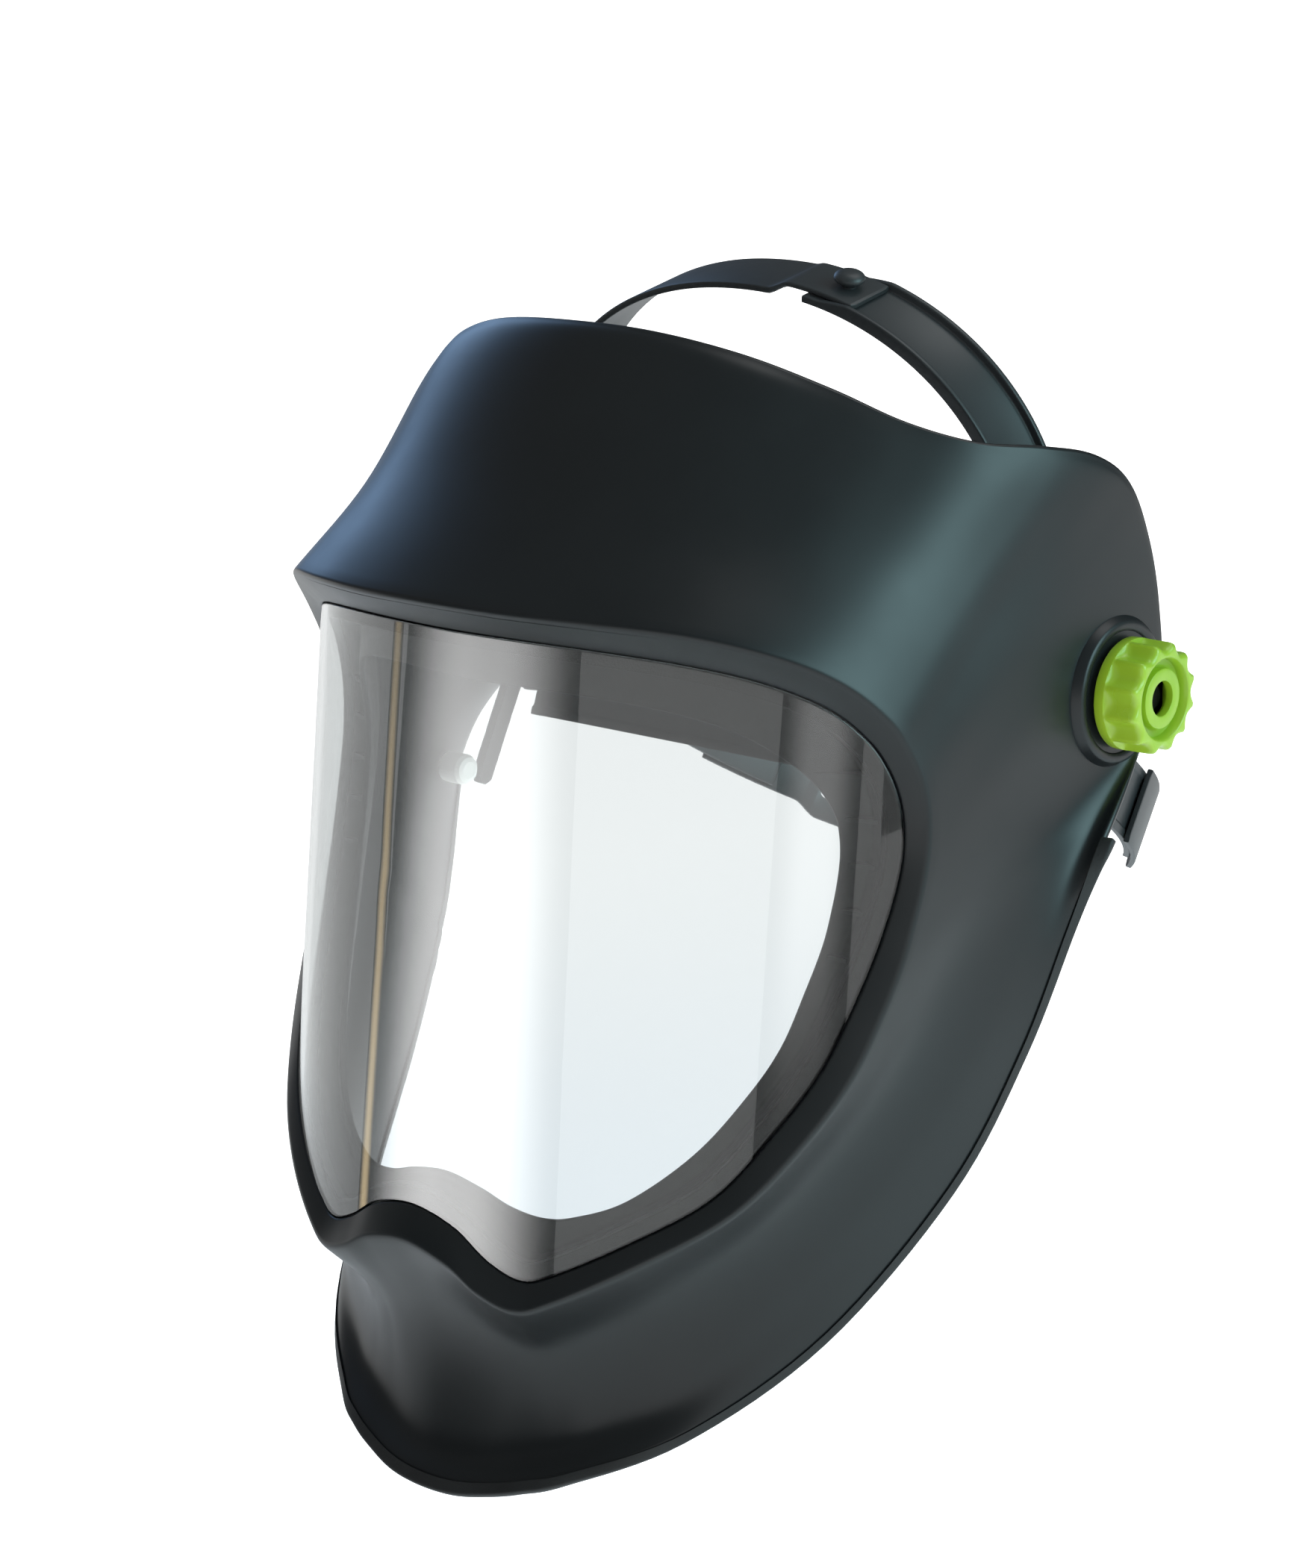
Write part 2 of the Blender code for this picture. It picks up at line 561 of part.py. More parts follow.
def pivot_side(side, sign):
    carriage = carriers[side]
    # guide plate with two lipped rails and the posts that stand on the headband
    z1 = RAIL_INSIDE
    z2 = RAIL_INSIDE + RAIL_WALL
    x0 = GUIDE_X
    x1 = GUIDE_X + GUIDE_WALL
    x2 = BLOCK_TOP + GAP
    x3 = x2 + LIP
    z0 = BOSS_RADIUS + GAP + 0.3
    section = [(x0, -z2), (x3, -z2), (x3, -z0), (x2, -z0), (x2, -z1), (x1, -z1),
               (x1, z1), (x2, z1), (x2, z0), (x3, z0), (x3, z2), (x0, z2)]
    front = -(BLOCK_HALF_LENGTH + REACH_TRAVEL + RAIL_END)
    rows = [[(sign * x, y, z) for x, z in section] for y in (front, -front + RAIL_END)]
    guide = finish(f"{side}_guide", skin(rows), FRAME_BLACK)
    posts = []
    for y in POST_PLACES:
        outside, inside, lean, z = band_wall(y)
        posts.append((y, z, outside + GAP + POST_RADIUS * lean, inside - GAP - POST_SCREW_HEAD * lean))
    tab = [(-22, -z2 + 1), (-20, posts[0][1] - 6), (-10, posts[0][1] - 8), (30, posts[1][1] - 6),
           (42, posts[1][1] - 4), (42, posts[1][1] + 6), (34, -z2 + 1)]
    combine(guide, "UNION", prism(tab, x0, x1, sign))
    for y, z, x, _ in posts:
        combine(guide, "UNION", disc(x, x1 - 0.3, POST_RADIUS, 0, sign, (y, z), 20))
    for number, (y, z, x, head) in enumerate(posts):
        tip = x + POST_SCREW_DEPTH
        bore = disc(x - 12, tip + GAP, SCREW_RADIUS + GAP, 0, sign, (y, z), 16, 0.1)
        combine(guide, "DIFFERENCE", bore)
        name = ("front", "rear")[number]
        profile = [(head - 1.4, 0), (head - 1.4, 1.8), (head - 0.6, POST_SCREW_HEAD), (head, POST_SCREW_HEAD),
                   (head, SCREW_RADIUS), (tip, SCREW_RADIUS), (tip, 0)]
        screw = turned(profile, (0, y, z), steps=16, sign=sign)
        finish(f"{side}_guide_screw_{name}", screw, STEEL)

    # carriage: sliding block, round boss, and the stop plate with its two fingers
    body = box((0, -BLOCK_HALF_LENGTH, -BLOCK_HALF_HEIGHT), (1, BLOCK_HALF_LENGTH, BLOCK_HALF_HEIGHT))
    for vert in body.verts:
        vert.co.x = sign * (BLOCK_X if vert.co.x < 0.5 else BLOCK_TOP)
    block = finish(f"{side}_carriage", body, FRAME_BLACK, carriage)
    combine(block, "UNION", disc(BLOCK_TOP - 1, BOSS_X, BOSS_RADIUS, 0, sign))
    combine(block, "UNION", disc(STOP_X - 0.4, STOP_X + STOP_WALL + 0.4, STOP_HUB_RADIUS, 0, sign))
    reach = math.hypot(*PEG_PLACE)
    peg_angle = math.degrees(math.atan2(PEG_PLACE[1], -PEG_PLACE[0]))
    lean = math.degrees(math.asin((PEG_RADIUS + FINGER_HALF + 0.4) / reach))
    for angle in (peg_angle - lean, peg_angle + FLIP_ANGLE + lean):
        finger = prism(arm(angle, reach + 1.5, FINGER_HALF), STOP_X, STOP_X + STOP_WALL, sign)
        combine(block, "UNION", finger)
    bore = BOLT_RADIUS + GAP
    pocket = BOLT_HEAD_RADIUS + GAP
    floor = BLOCK_X + HEAD_POCKET
    stepped = [(BLOCK_X - 5, 0), (BLOCK_X - 5, pocket), (floor, pocket), (floor, bore), (BOSS_X + 5, bore),
               (BOSS_X + 5, 0)]
    combine(block, "DIFFERENCE", turned(stepped, (0, 0, 0), sign=sign))

    tip = KNOB_X + 9.6
    neck = floor - GAP
    bolt = [(BLOCK_X + GAP, 0), (BLOCK_X + GAP, BOLT_HEAD_RADIUS), (neck, BOLT_HEAD_RADIUS),
            (neck, BOLT_RADIUS), (tip - 0.8, BOLT_RADIUS), (tip, BOLT_RADIUS - 0.8), (tip, 0)]
    finish(f"{side}_pivot_bolt", turned(bolt, (0, 0, 0), sign=sign), STEEL, carriage)
    washer = disc(BOSS_X + GAP, BOSS_X + GAP + FRICTION_WASHER, WASHER_RADIUS, bore, sign)
    finish(f"{side}_friction_washer", washer, WHITE, carriage)
    start = BOSS_X + 2 * GAP + FRICTION_WASHER
    end = start + SPRING_WASHER
    flat = SPRING_RADIUS - 3.0
    spring = [(start, bore), (start, flat), (start + 0.5, SPRING_RADIUS), (end, SPRING_RADIUS),
              (end - 0.5, flat), (end - 0.5, bore)]
    finish(f"{side}_spring_washer", turned(spring, (0, 0, 0), sign=sign), STEEL, carriage)

    # bush in the shell's pivot hole
    flange = PIVOT_X + PAD_OUT + GAP
    bush = [(PAD_X + GAP, bore), (PAD_X + GAP, bore + BUSH_WALL), (flange, bore + BUSH_WALL),
            (flange, BUSH_FLANGE_RADIUS), (flange + BUSH_FLANGE, BUSH_FLANGE_RADIUS),
            (flange + BUSH_FLANGE, bore)]
    finish(f"{side}_pivot_bush", turned(bush, (0, 0, 0), sign=sign), WHITE, shell_pivot)

    # tilt-stop peg on the inside of the shell
    place, normal = wall_point(PEG_PLACE[0], PEG_PLACE[1], sign)
    profile = [(PEG_STAND, 0), (PEG_STAND, PEG_RADIUS), (PEG_LENGTH - 2, PEG_RADIUS),
               (PEG_LENGTH - 0.6, PEG_RADIUS - 0.8), (PEG_LENGTH, PEG_RADIUS - 2.2), (PEG_LENGTH, 0)]
    finish(f"{side}_stop_peg", turned(profile, place, (-sign, 0, 0), 24), WHITE, shell_pivot)

    # knob, with its nut
    steps = KNOB_SCALLOPS * 3
    hub = KNOB_RADIUS - 7.4
    hole = hub - 2.1
    inner = NUT_FLAT + 1.5
    floor = KNOB_LENGTH - 3.2
    profile = [
        (0, inner, 0), (0, KNOB_RADIUS - 0.9, 0.5), (1.0, KNOB_RADIUS, 1), (KNOB_LENGTH - 2.2, KNOB_RADIUS, 1),
        (KNOB_LENGTH - 0.6, KNOB_RADIUS - 0.6, 0.8), (KNOB_LENGTH, KNOB_RADIUS - 1.8, 0.3),
        (KNOB_LENGTH, KNOB_RADIUS - 4.4, 0), (floor, KNOB_RADIUS - 4.8, 0), (floor, hub + 0.2, 0),
        (KNOB_LENGTH - 0.9, hub, 0), (KNOB_LENGTH - 0.9, hole, 0), (KNOB_BLIND, hole, 0),
        (KNOB_BLIND, inner, 0),
    ]
    rows = []
    for along, radius, share in profile:
        row = []
        for k in range(steps):
            angle = 2 * math.pi * k / steps
            dip = max(0.0, math.cos(KNOB_SCALLOPS * angle)) ** 1.5
            r = radius - FLUTE_DEPTH * share * dip
            row.append((sign * (KNOB_X + along), r * math.cos(angle), r * math.sin(angle)))
        rows.append(row)
    finish(f"{side}_knob", skin(rows, closed_stack=True), LIME, knobs[side])
    first = KNOB_X + 2
    rows = []
    for x, inside in ((first, True), (first, False), (first + NUT_LENGTH, False), (first + NUT_LENGTH, True)):
        row = []
        for angle in np.linspace(0, 2 * math.pi, 24, endpoint=False):
            across = NUT_FLAT / math.cos((angle + math.pi / 6) % (math.pi / 3) - math.pi / 6)
            r = bore + 0.05 if inside else across
            row.append((sign * x, r * math.cos(angle), r * math.sin(angle)))
        rows.append(row)
    finish(f"{side}_knob_nut", skin(rows, closed_stack=True), BRASS, knobs[side])
    return [(sign, y, z) for y, z, _, _ in posts]


screw_bores = []
for side, sign in SIDES.items():
    screw_bores += pivot_side(side, sign)

# ---------------------------------------------------------------- headband and sweatband
TILT = math.radians(REAR_TILT)
REAR_Z = -FRONT_SLOPE * (HEAD_MIDDLE + HEAD_FRONT)
REAR_CENTRE = Vector((0, HEAD_MIDDLE, REAR_Z))
REAR_BACK = Vector((0, math.cos(TILT), -math.sin(TILT)))
REAR_UP = Vector((0, math.sin(TILT), math.cos(TILT)))
FRONT_UP = Vector((0, FRONT_SLOPE, 1)).normalized()
TAIL_ANGLE = 34.0         # how far the headband goes on round the rear arc
TAIL_HALF = 11.0


def rear_point(angle, radius, up):
    """A point on the rear arc: angle from straight left towards the back, radius, height across."""
    a = math.radians(angle)
    out = Vector((math.cos(a), 0, 0)) + REAR_BACK * math.sin(a)
    return REAR_CENTRE + out * radius + REAR_UP * up


def band_section(turn, inside, outside, low, high):
    """Four corners across the headband at an angle from the front, in degrees."""
    spot, out = band_point(math.radians(turn))
    share = min(1.0, abs(turn) / 90) ** 3
    up = (FRONT_UP * (1 - share) + REAR_UP * share).normalized()
    return [spot + out * inside + up * low, spot + out * outside + up * low,
            spot + out * outside + up * high, spot + out * inside + up * high]


def rear_section(angle, inside, outside, low, high):
    return [rear_point(angle, inside, low), rear_point(angle, outside, low),
            rear_point(angle, outside, high), rear_point(angle, inside, high)]


def headband():
    half = BAND_WALL / 2
    walls = (HEAD_HALF_WIDTH - half, HEAD_HALF_WIDTH + half, -TAIL_HALF, TAIL_HALF)
    tail_angles = np.linspace(TAIL_ANGLE / 4, TAIL_ANGLE, 4)
    rows = [rear_section(180 - angle, *walls) for angle in tail_angles[::-1]]
    for turn in range(-90, 91, 6):
        tall = BAND_HEIGHT / 2 - (BAND_HEIGHT / 2 - TAIL_HALF) * max(0.0, (abs(turn) - 50) / 40)
        rows.append(band_section(turn, -half, half, -tall, tall))
    rows += [rear_section(angle, *walls) for angle in tail_angles]
    made = finish("headband", skin(rows), STRAP_BLACK)
    for sign, y, z in screw_bores:
        bore = disc(HEAD_HALF_WIDTH - 26, HEAD_HALF_WIDTH + 24, SCREW_RADIUS + GAP, 0, sign, (y, z), 16)
        combine(made, "DIFFERENCE", bore)
    return made


band = headband()


PAD_THICKNESS = 5.0
PAD_TURN = 60
PAD_OVERHANG = 2.0
PAD_ROOM = 0.4


def sweatband():
    """A pad inside the front of the headband, thinner and lower towards its ends."""
    outside = -BAND_WALL / 2 - PAD_ROOM
    rows = []
    for turn in range(-PAD_TURN, PAD_TURN + 1, 6):
        fade = 1 - 0.35 * (abs(turn) / PAD_TURN) ** 4
        high = (BAND_HEIGHT / 2 + PAD_OVERHANG) * fade
        rows.append(band_section(turn, outside - PAD_THICKNESS * fade, outside, -high, high))
    return finish("sweatband", skin(rows), FABRIC)


sweatband()

# ---------------------------------------------------------------- crown strap
CROWN_A = HEAD_HALF_WIDTH + BAND_WALL / 2 + GAP + CROWN_WALL / 2
CROWN_STRAIGHT = 41.0     # the strap stands straight up to this height
CROWN_RISE = 70.0         # and its arch rises this far above it
CROWN_POWER = 2.1         # a little squarer than an ellipse
CROWN_LEAN = 0.25
CROWN_LEVEL = 60.0        # height at which the strap's place along Y is given
CROWN_Y = -4.6
CROWN_FOOT = -31.0
RIB_WIDTH = 1.8
RIB_START = 30.0          # the ribs rise from here down the left side
PLATE_START = 22.0        # where the left half begins, near the top
TAIL_STEP = 16.0          # where the right half's tail steps up to lie on the left half
TAIL_WALL = 1.6
TAIL_ROOM = 0.6           # between the tail and each rib
CROWN_ALONG = Vector((0, -CROWN_LEAN, 1)).normalized()
CROWN_ACROSS = Vector((0, 1, CROWN_LEAN)).normalized()
PEG_X = 33.0
TAIL_PAST_PEG = 8.0
PEG_SHANK = 2.2


def crown_path(step):
    """Places and outward ways along the arch, from the left foot over the top to the right foot."""
    flat = [(CROWN_A, z) for z in np.linspace(CROWN_FOOT, CROWN_STRAIGHT, 6)[:-1]]
    for k in range(step + 1):
        a = math.pi * k / step
        c, s = math.cos(a), math.sin(a)
        x = math.copysign(abs(c) ** (2 / CROWN_POWER), c) * CROWN_A
        flat.append((x, CROWN_STRAIGHT + CROWN_RISE * abs(s) ** (2 / CROWN_POWER)))
    flat += [(-CROWN_A, z) for z in np.linspace(CROWN_STRAIGHT, CROWN_FOOT, 6)[1:]]
    flat = np.array(flat)
    along = np.gradient(flat, axis=0)
    base = Vector((0, CROWN_Y, CROWN_LEVEL))
    places = []
    for (x, z), (dx, dz) in zip(flat, along):
        lift = (z - CROWN_LEVEL) / CROWN_ALONG.z
        out = (Vector((1, 0, 0)) * dz - CROWN_ALONG * dx).normalized()
        places.append((base + Vector((x, 0, 0)) + CROWN_ALONG * lift, out, x, z))
    return places


def crown_half(name, keep, shape):
    rows = []
    for place, out, x, _ in crown_path(48):
        if keep(x):
            rows.append([place + CROWN_ACROSS * across + out * up for across, up in shape(x)])
    return finish(name, skin(rows), STRAP_BLACK)


def ribbed(x):
    """A flat plate whose two edge ribs rise a little past its end."""
    w = CROWN_WIDTH / 2
    low = -CROWN_WALL / 2
    top = CROWN_WALL / 2
    rib = top + CROWN_RIB * min(1.0, max(0.08, (x - RIB_START) / 10))
    channel = w - RIB_WIDTH
    return [(-w, low), (w, low), (w, rib), (channel, rib), (channel, top), (-channel, top), (-channel, rib),
            (-w, rib)]


def tail(x):
    """Flat on its own side, and stepped up past the top to lie in the other half's channel."""
    w = CROWN_WIDTH / 2
    low = -CROWN_WALL / 2
    top = CROWN_WALL / 2
    if x > TAIL_STEP:
        w -= RIB_WIDTH + TAIL_ROOM
        low = CROWN_WALL / 2 + GAP
        top = low + TAIL_WALL
    return [(-w, low), (w, low), (w, top), (-w, top)]


crown_left = crown_half("crown_strap_left", lambda x: x > PLATE_START, ribbed)
crown_right = crown_half("crown_strap_right", lambda x: x < PEG_X + TAIL_PAST_PEG, tail)


def crown_peg():
    spot = min(crown_path(400), key=lambda row: abs(row[2] - PEG_X) + (row[3] < CROWN_LEVEL) * 999)
    place, out = spot[0], spot[1]
    top = CROWN_WALL / 2 + GAP + TAIL_WALL + GAP
    reach = 8.0
    hole = [(-reach, 0), (-reach, PEG_SHANK + GAP), (reach, PEG_SHANK + GAP), (reach, 0)]
    for pierced in (crown_left, crown_right):
        combine(pierced, "DIFFERENCE", turned(hole, place, out, 16))
    low = -CROWN_WALL / 2 - GAP
    profile = [(low - 1.2, 0), (low - 1.2, 3.6), (low, 4.2), (low, PEG_SHANK), (top, PEG_SHANK),
               (top + 1.0, 3.4), (top + 2.2, 4.6), (top + 3.6, 4.2), (top + 4.4, 2.8), (top + 4.4, 0)]
    finish("crown_peg", turned(profile, place, out, 20), STRAP_BLACK)


crown_peg()

RIVET_Z = -24.0
RIVET_SHANK = 2.0
for side, sign in SIDES.items():
    y = CROWN_Y - CROWN_LEAN * (RIVET_Z - CROWN_LEVEL)
    _, inner_face, lean, _ = band_wall(y)
    outside = STRAP_OUT
    inside = inner_face - 4.0 * lean + 0.2
    for piece in (band, crown_left if sign > 0 else crown_right):
        bore = disc(inside - 10, outside + 10, RIVET_SHANK + GAP, 0, sign, (y, RIVET_Z), 16)
        combine(piece, "DIFFERENCE", bore)
    profile = [(inside - 2.2, 0), (inside - 2.2, 3.6), (inside - 1.0, 4.0), (inside - 1.0, RIVET_SHANK),
               (outside + 0.4, RIVET_SHANK), (outside + 0.4, 3.8), (outside + 1.6, 3.0), (outside + 1.6, 0)]
    rivet = turned(profile, (0, y, RIVET_Z), steps=18, sign=sign)
    finish(f"crown_rivet_{side}", rivet, STRAP_BLACK)

# ---------------------------------------------------------------- rear straps and ratchet
PITCH_RADIUS = TOOTH_MODULE * PINION_TEETH / 2
STRAP_IN = HEAD_HALF_WIDTH + BAND_WALL / 2 + 0.4
STRAP_MID = STRAP_IN + STRAP_WALL / 2
TOOTH_ANGLE = math.degrees(2 * math.pi * TOOTH_MODULE / (2 * STRAP_MID))
STRAP_HALF = 12.0
RACK_OUTER = STRAP_HALF + 3.4     # plain edge of the rack, away from its teeth
RACK_END = 110.0          # degrees round the rear arc, from straight left
STRAP_START = 16.0
RACK_START = 46.0         # where the full-width strap has narrowed to the rack
RACK_SHOULDER = 6.0
FLANKS = (0.29, 0.39)     # a tooth's flank, as shares of the tooth's pitch
strap_axes = {side: pivot(f"{side}_strap_axis", REAR_CENTRE) for side in SIDES}
ratchet_axis = pivot("ratchet_axis", rear_point(90, STRAP_MID, 0))


def rack_edge(angle):
    """Height of the toothed edge above the pinion's axis: a gap faces the pinion's upright tooth."""
    turn = abs((angle - 90 + TOOTH_ANGLE / 2) % TOOTH_ANGLE - TOOTH_ANGLE / 2) / TOOTH_ANGLE
    root = PITCH_RADIUS + 1.25 * TOOTH_MODULE + 0.2
    tip = PITCH_RADIUS - 0.8 * TOOTH_MODULE
    share = min(1.0, max(0.0, (turn - FLANKS[0]) / (FLANKS[1] - FLANKS[0])))
    return root + (tip - root) * share


def rack_strap(side, sign):
    rows = []
    shoulder = RACK_START - RACK_SHOULDER
    angles = list(np.linspace(STRAP_START, shoulder, 7)) + [RACK_START - RACK_SHOULDER / 2, RACK_START]
    tooth = TOOTH_ANGLE * round((RACK_START + 2 - 90) / TOOTH_ANGLE) + 90
    while tooth < RACK_END:
        angles += [tooth + TOOTH_ANGLE * part for part in (*FLANKS, 1 - FLANKS[1], 1 - FLANKS[0])]
        tooth += TOOTH_ANGLE
    for angle in angles:
        low, high = -STRAP_HALF, STRAP_HALF
        if angle > shoulder:
            share = min(1.0, (angle - shoulder) / RACK_SHOULDER)
            low = low + (rack_edge(angle) - low) * share
            high = high + (RACK_OUTER - high) * share
        if sign < 0:
            low, high = -high, -low
        rows.append(rear_section(90 - sign * (90 - angle), STRAP_IN, STRAP_IN + STRAP_WALL, low, high))
    return finish(f"{side}_rack_strap", skin(rows), STRAP_BLACK, strap_axes[side])


for side, sign in SIDES.items():
    rack_strap(side, sign)


def arc_solid(name, section, first, last, look, parent=None, count=12):
    """A section of (radius, height) corners carried round the rear arc."""
    rows = [[rear_point(a, r, up) for r, up in section] for a in np.linspace(first, last, count)]
    return finish(name, skin(rows), look, parent)


CASE_HALF = 19.0
CASE_CHANNEL = 16.6       # half height of the channel that the racks slide in
CASE_ANGLES = (90 - RATCHET_HALF_ANGLE, 90 + RATCHET_HALF_ANGLE)
COVER_WALL = 2.2
SHAFT_RADIUS = 3.4
SHAFT_STAND = 7.0         # how far the pinion's shaft stands out of the cover
INSIDE = HEAD_HALF_WIDTH - BAND_WALL / 2
case_floor = STRAP_IN - 0.5
lips = STRAP_IN + STRAP_WALL + 0.9
arc_solid(
    "ratchet_housing",
    [(INSIDE - 0.8, -CASE_HALF), (lips, -CASE_HALF), (lips, -CASE_CHANNEL), (case_floor, -CASE_CHANNEL),
     (case_floor, CASE_CHANNEL), (lips, CASE_CHANNEL), (lips, CASE_HALF), (INSIDE - 0.8, CASE_HALF)],
    *CASE_ANGLES, FRAME_BLACK)
cover_low = lips + GAP
cover_high = cover_low + COVER_WALL
cover = arc_solid(
    "ratchet_cover",
    [(cover_low, -CASE_HALF), (cover_high, -CASE_HALF + 1), (cover_high, CASE_HALF - 1),
     (cover_low, CASE_HALF)],
    *CASE_ANGLES, FRAME_BLACK)
bore_radius = SHAFT_RADIUS + GAP
cover_bore = [(cover_low - 10, 0), (cover_low - 10, bore_radius), (cover_high + 30, bore_radius),
              (cover_high + 30, 0)]
combine(cover, "DIFFERENCE", turned(cover_bore, REAR_CENTRE, REAR_BACK, 24))
arc_solid("rear_pad", [(INSIDE - 7.4, -20), (INSIDE - 1.3, -22), (INSIDE - 1.3, 22), (INSIDE - 7.4, 20)],
          56, 124, FABRIC, None, 14)


def wheel(profile, count, outline):
    """Rows round the ratchet's axis; outline gives the radius at an angle for a row's own radius."""
    rows = []
    for along, radius, share in profile:
        centre = REAR_CENTRE + REAR_BACK * along
        row = []
        for k in range(count):
            a = 2 * math.pi * k / count
            r = outline(a, radius, share)
            row.append(centre + (REAR_UP * math.cos(a) + Vector((1, 0, 0)) * math.sin(a)) * r)
        rows.append(row if radius > 0 else [centre])
    return skin(rows)


def gear_outline(angle, radius, share):
    turn = (angle * PINION_TEETH / (2 * math.pi) + 0.5) % 1 - 0.5
    slope = min(1.0, max(0.0, (abs(turn) - 0.12) / 0.14))
    return radius + share * (1 - slope) * 2.0 * TOOTH_MODULE


def ratchet_pinion():
    root = PITCH_RADIUS - 1.25 * TOOTH_MODULE
    start = case_floor + GAP
    end = lips
    profile = [(start, 0, 0), (start, root, 1), (end, root, 1), (end, SHAFT_RADIUS, 0),
               (cover_high + SHAFT_STAND, SHAFT_RADIUS, 0), (cover_high + SHAFT_STAND, 0, 0)]
    return finish("ratchet_pinion", wheel(profile, PINION_TEETH * 6, gear_outline), WHITE, ratchet_axis)


ratchet_pinion()
DETENT_SPRING = (0.8, 11.0)       # thickness and radius
spring_low = cover_high + GAP
spring_high = spring_low + DETENT_SPRING[0]
spring = turned([(spring_low, bore_radius), (spring_low, DETENT_SPRING[1]), (spring_high, DETENT_SPRING[1]),
                 (spring_high, bore_radius)], REAR_CENTRE, REAR_BACK, 28)
finish("ratchet_spring", spring, STEEL)
RATCHET_KNOB_RADIUS = 18.0
RATCHET_KNOB_LENGTH = 11.0
RATCHET_LOBES = 10
RATCHET_DIP = 1.6


def knob_outline(angle, radius, share):
    dip = max(0.0, math.cos(RATCHET_LOBES * angle)) ** 1.5
    return radius - RATCHET_DIP * share * dip


def ratchet_knob():
    low = spring_high + GAP
    high = low + RATCHET_KNOB_LENGTH
    inside = cover_high + SHAFT_STAND + GAP
    profile = [(inside, 0, 0), (inside, bore_radius, 0), (low, bore_radius, 0),
               (low, RATCHET_KNOB_RADIUS - 1.0, 0.6), (low + 1.2, RATCHET_KNOB_RADIUS, 1),
               (high - 2.0, RATCHET_KNOB_RADIUS - 0.6, 1), (high - 0.4, RATCHET_KNOB_RADIUS - 2.4, 0.5),
               (high, 10.0, 0), (high, 0, 0)]
    return finish("ratchet_knob", wheel(profile, 40, knob_outline), STRAP_BLACK, ratchet_axis)


ratchet_knob()
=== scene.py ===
import math

import bmesh
import bpy
import numpy as np
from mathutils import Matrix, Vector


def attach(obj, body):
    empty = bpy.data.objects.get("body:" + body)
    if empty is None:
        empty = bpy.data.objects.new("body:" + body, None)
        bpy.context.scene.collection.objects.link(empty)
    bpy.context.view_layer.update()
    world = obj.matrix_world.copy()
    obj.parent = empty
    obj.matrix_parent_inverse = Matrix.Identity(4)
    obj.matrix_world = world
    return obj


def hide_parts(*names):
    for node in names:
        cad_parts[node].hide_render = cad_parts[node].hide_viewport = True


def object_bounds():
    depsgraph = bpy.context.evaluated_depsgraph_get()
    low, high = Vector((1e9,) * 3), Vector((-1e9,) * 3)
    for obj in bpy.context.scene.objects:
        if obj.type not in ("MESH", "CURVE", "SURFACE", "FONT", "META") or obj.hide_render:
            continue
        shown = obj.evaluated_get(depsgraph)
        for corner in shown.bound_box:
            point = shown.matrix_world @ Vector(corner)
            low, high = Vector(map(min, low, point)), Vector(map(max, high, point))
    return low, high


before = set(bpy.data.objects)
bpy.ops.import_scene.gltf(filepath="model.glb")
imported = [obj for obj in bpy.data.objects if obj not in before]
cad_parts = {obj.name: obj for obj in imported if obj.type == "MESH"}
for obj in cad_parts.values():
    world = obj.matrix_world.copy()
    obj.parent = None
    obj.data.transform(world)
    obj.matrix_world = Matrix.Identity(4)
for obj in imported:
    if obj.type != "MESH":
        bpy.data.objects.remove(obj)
cadBounds = [list(corner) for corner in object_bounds()]
print("frame loaded")

mm = 0.001
sides = {"left": 1, "right": -1}


# colours and shader nodes
def srgb(code):  # hex colour as the linear numbers a shader wants
    parts = np.array([int(code[i:i + 2], 16) for i in (1, 3, 5)]) / 255
    linear = np.where(parts <= 0.04045, parts / 12.92, ((parts + 0.055) / 1.055) ** 2.4)
    return (*linear.tolist(), 1.0)


def addNode(tree, kind, settings=None, inputs=None, stops=()):
    # settings are the node's own, inputs are numbers or the output that feeds a socket, and stops are a
    # two-colour ramp's (place, hex colour)
    node = tree.nodes.new(kind)
    for name, value in (settings or {}).items():
        setattr(node, name, value)
    for name, value in (inputs or {}).items():
        if isinstance(value, bpy.types.NodeSocket):
            tree.links.new(value, node.inputs[name])
        else:
            node.inputs[name].default_value = value
    for number, (place, code) in enumerate(stops):
        node.color_ramp.elements[number].position = place
        node.color_ramp.elements[number].color = srgb(code)
    return node


def newMaterial(name, shaderInputs, kind="ShaderNodeBsdfPrincipled"):
    look = bpy.data.materials.new(name)
    look.use_nodes = True
    tree = look.node_tree
    tree.nodes.clear()
    shader = addNode(tree, kind, None, shaderInputs)
    addNode(tree, "ShaderNodeOutputMaterial", None, {"Surface": shader.outputs[0]})
    return look, tree, shader


